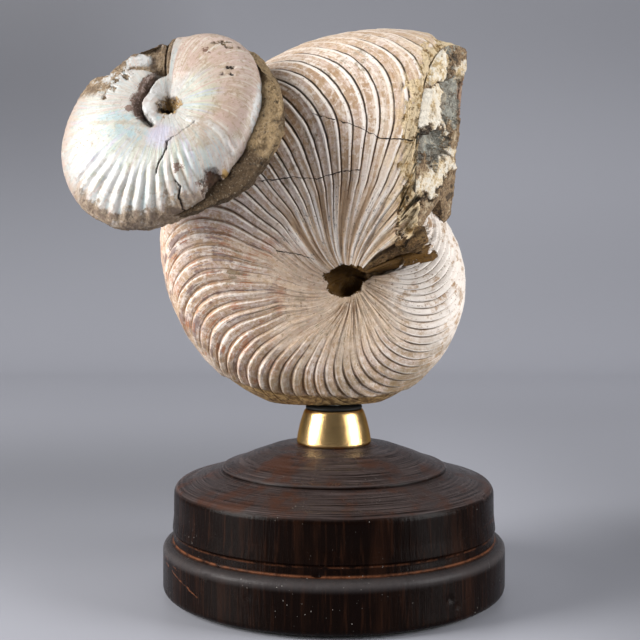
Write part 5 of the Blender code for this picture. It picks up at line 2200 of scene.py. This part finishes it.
@dataclass(frozen=True)
class Studio:
    """A pale floor that sweeps up behind the object, soft lights and the camera."""

    eye: Vector = Vector((-0.0072, -0.743, 0.208))
    pitch: float = 84.9
    lens: float = 81.56
    sensor: float = 36.0
    aim: Vector = Vector((0.0, 0.0, 0.17))
    floor_colour: Colour = (0.36, 0.365, 0.405)
    floor_rough: float = 0.42
    floor_half: float = 3.0
    floor_front: float = -2.2
    floor_back: float = 0.87
    floor_curve: float = 0.6
    floor_steps: int = 40
    room_colour: Colour = (0.62, 0.65, 0.72)
    room_light: float = 0.2

    def floor(self) -> None:
        """Makes the floor and its curved rise, with painted light and shade in its colour."""
        outline = [(self.floor_front, 0.0), (self.floor_back, 0.0)]
        for step in range(1, self.floor_steps + 1):
            angle = step / self.floor_steps * math.pi / 2.0
            outline.append((self.floor_back + self.floor_curve * math.sin(angle),
                            self.floor_curve * (1.0 - math.cos(angle))))
        outline.append((self.floor_back + self.floor_curve, self.floor_half))
        points = [(x, y, z) for y, z in outline for x in (-self.floor_half, self.floor_half)]
        faces = [(index, index + 1, index + 3, index + 2) for index in range(0, len(points) - 2, 2)]
        mesh = bpy.data.meshes.new("floor_sweep")
        mesh.from_pydata(points, [], faces)
        mesh.shade_smooth()
        paint = Surface("floor")
        rise = paint.rise
        x, y, z = paint.split(paint.where)
        # Painted light and shade: darker up the rise towards its top left, a painted shadow to the right of the
        # object, a darker band behind it on the left, and a lighter band at the bend.
        high = rise(z, 0.0, 0.4) * rise(x, 0.2, -0.45) * 0.85
        high = paint.most(high, rise(z, 0.18, 0.5) * 0.52) * rise(y, 0.7, 1.1)
        near = rise(x, 0.06, 0.24) * (rise(y, 0.75, 0.0) * 0.62 + rise(y, 0.22, 0.12) * 0.38)
        left = paint.hump(y, 0.27, 0.36) * rise(x, 0.1, -0.08) * 0.75
        bend = paint.hump(y, 0.9, 0.36) * (0.7 + rise(x, -0.1, 0.15) * 0.3)
        dim, lit = (tuple(part * share for part in self.floor_colour) for share in (0.45, 1.25))
        colour = paint.coats(self.floor_colour, (bend, lit), (paint.any_of(high, near, left), dim))
        mesh.materials.append(paint.finish(colour, self.floor_rough, None))
        linked("floor_sweep", mesh)

    def light(self, name: str, place: Vector, size: Spot, power: float,
              colour: Colour = (1.0, 1.0, 1.0)) -> None:
        """Hangs one soft box.

        Args:
            name: Its name.
            place: Where it hangs.
            size: Width and height.
            power: Its power in watts.
            colour: Its colour.
        """
        data = bpy.data.lights.new(name, "AREA")
        data.shape = "RECTANGLE"
        data.size, data.size_y = size
        data.energy = power
        data.color = colour
        lamp = linked(name, data)
        lamp.location = place
        lamp.rotation_euler = (self.aim - place).to_track_quat("-Z", "Y").to_euler()

    def build(self) -> None:
        """Sets floor, world, lights and camera."""
        self.floor()
        world = bpy.data.worlds.new("soft room")
        world.use_nodes = True
        background = world.node_tree.nodes["Background"]
        background.inputs["Color"].default_value = (*self.room_colour, 1.0)
        background.inputs["Strength"].default_value = self.room_light
        bpy.context.scene.world = world
        bpy.context.scene.view_settings.view_transform = "Standard"
        self.light("left box", Vector((-1.2, -0.42, 0.6)), (0.7, 0.9), 37.0, (1.0, 0.99, 0.97))
        self.light("right box", Vector((1.16, -0.46, 0.48)), (0.6, 0.9), 20.0)
        self.light("top box", Vector((0.0, 0.2, 1.3)), (0.9, 0.6), 3.0)
        data = bpy.data.cameras.new("camera")
        data.lens, data.sensor_width = self.lens, self.sensor
        camera = linked("camera", data)
        camera.location = self.eye
        camera.rotation_euler = (self.pitch * DEGREE, 0.0, 0.0)
        bpy.context.scene.camera = camera


# ------------------------------------------------------------------ assembly


def settle(piece: Object, slot: Slot, *nodes: str) -> None:
    """Registers a finished piece with the frame and reports it.

    Args:
        piece: The piece.
        slot: The material slot whose name is logged with it.
        *nodes: The nodes that it stands for.
    """
    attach(piece, BODY)
    if nodes:
        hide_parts(*nodes)
    triangles = sum(len(face.vertices) - 2 for face in piece.data.polygons)
    log.info("%s: %d triangles, %s", piece.name, triangles, slot.value)


def dress_fossils() -> None:
    """Builds the nautilus, its broken end, the ammonite and the sandstone."""
    low, high = (Vector(corner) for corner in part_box("nautilus"))
    shell = NautilusHalf(coil_x=low.x + 0.0963, coil_z=low.z + 0.07, cut_y=high.y - 0.0061, seat_z=low.z)
    settle(shell.build(ShellFinish().build(shell), SectionFinish().build(shell)), Slot.SHELL, "nautilus")
    face = BrokenEnd(shell)
    settle(face.build(BreakFinish().build(face)), Slot.SHELL, "nautilus")
    left, _ = (Vector(corner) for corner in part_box("ammonite"))
    centre = Vector((left.x + 0.0559, left.y + 0.0299, left.z + 0.054))
    ammonite = SmallAmmonite(centre=centre, outward=Vector((-0.3, -0.865, 0.4)))
    settle(ammonite.build(PearlFinish().build(ammonite)), Slot.PEARL, "ammonite")
    settle(MatrixStone(ammonite).build(SandstoneFinish().build()), Slot.SANDSTONE, "matrix_stone")


def dress_stand() -> None:
    """Builds the base, the collar, the washer and the hidden fixings."""
    low, high = (Vector(corner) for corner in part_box("wood_base"))
    corners = [Vector(corner) for node in ("brass_collar", "rubber_washer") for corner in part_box(node)]
    hardware = Hardware(*corners)
    base = TurnedBase(bottom=low.z, top=high.z - hardware.sink, radius=high.x)
    settle(base.build(WoodFinish()), Slot.WOOD, "wood_base")
    brass = MetalFinish("brass", (0.8, 0.52, 0.22), (0.46, 0.27, 0.1), 0.13, (0.7, 0.5, 0.28)).build()
    steel = MetalFinish("zinc_steel", (0.62, 0.62, 0.6), (0.36, 0.35, 0.33), 0.3).build()
    rubber = SoftFinish("black_rubber", (0.006, 0.006, 0.006), (0.016, 0.016, 0.015), 0.55, 1600.0, 0.0001)
    felt = SoftFinish("black_felt", (0.008, 0.009, 0.008), (0.04, 0.041, 0.04), 0.92, 2600.0, 0.0005, 0.3)
    settle(hardware.collar(brass), Slot.BRASS, "brass_collar")
    settle(hardware.washer(rubber.build()), Slot.RUBBER, "rubber_washer")
    settle(hardware.rod(steel), Slot.STEEL, "threaded_rod")
    settle(hardware.felt(felt.build()), Slot.FELT, "felt_pad")
    for node in ("steel_washer", "hex_nut"):
        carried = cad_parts[node]
        carried.data.materials.clear()
        carried.data.materials.append(steel)
        log.info("%s: carried over, %s", node, Slot.STEEL.value)


def main() -> None:
    """Builds every piece in order, then the studio."""
    logging.basicConfig(level=logging.INFO, format="%(name)s: %(message)s")
    dress_fossils()
    dress_stand()
    Studio().build()
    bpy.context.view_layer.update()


if __name__ == "__main__":
    main()
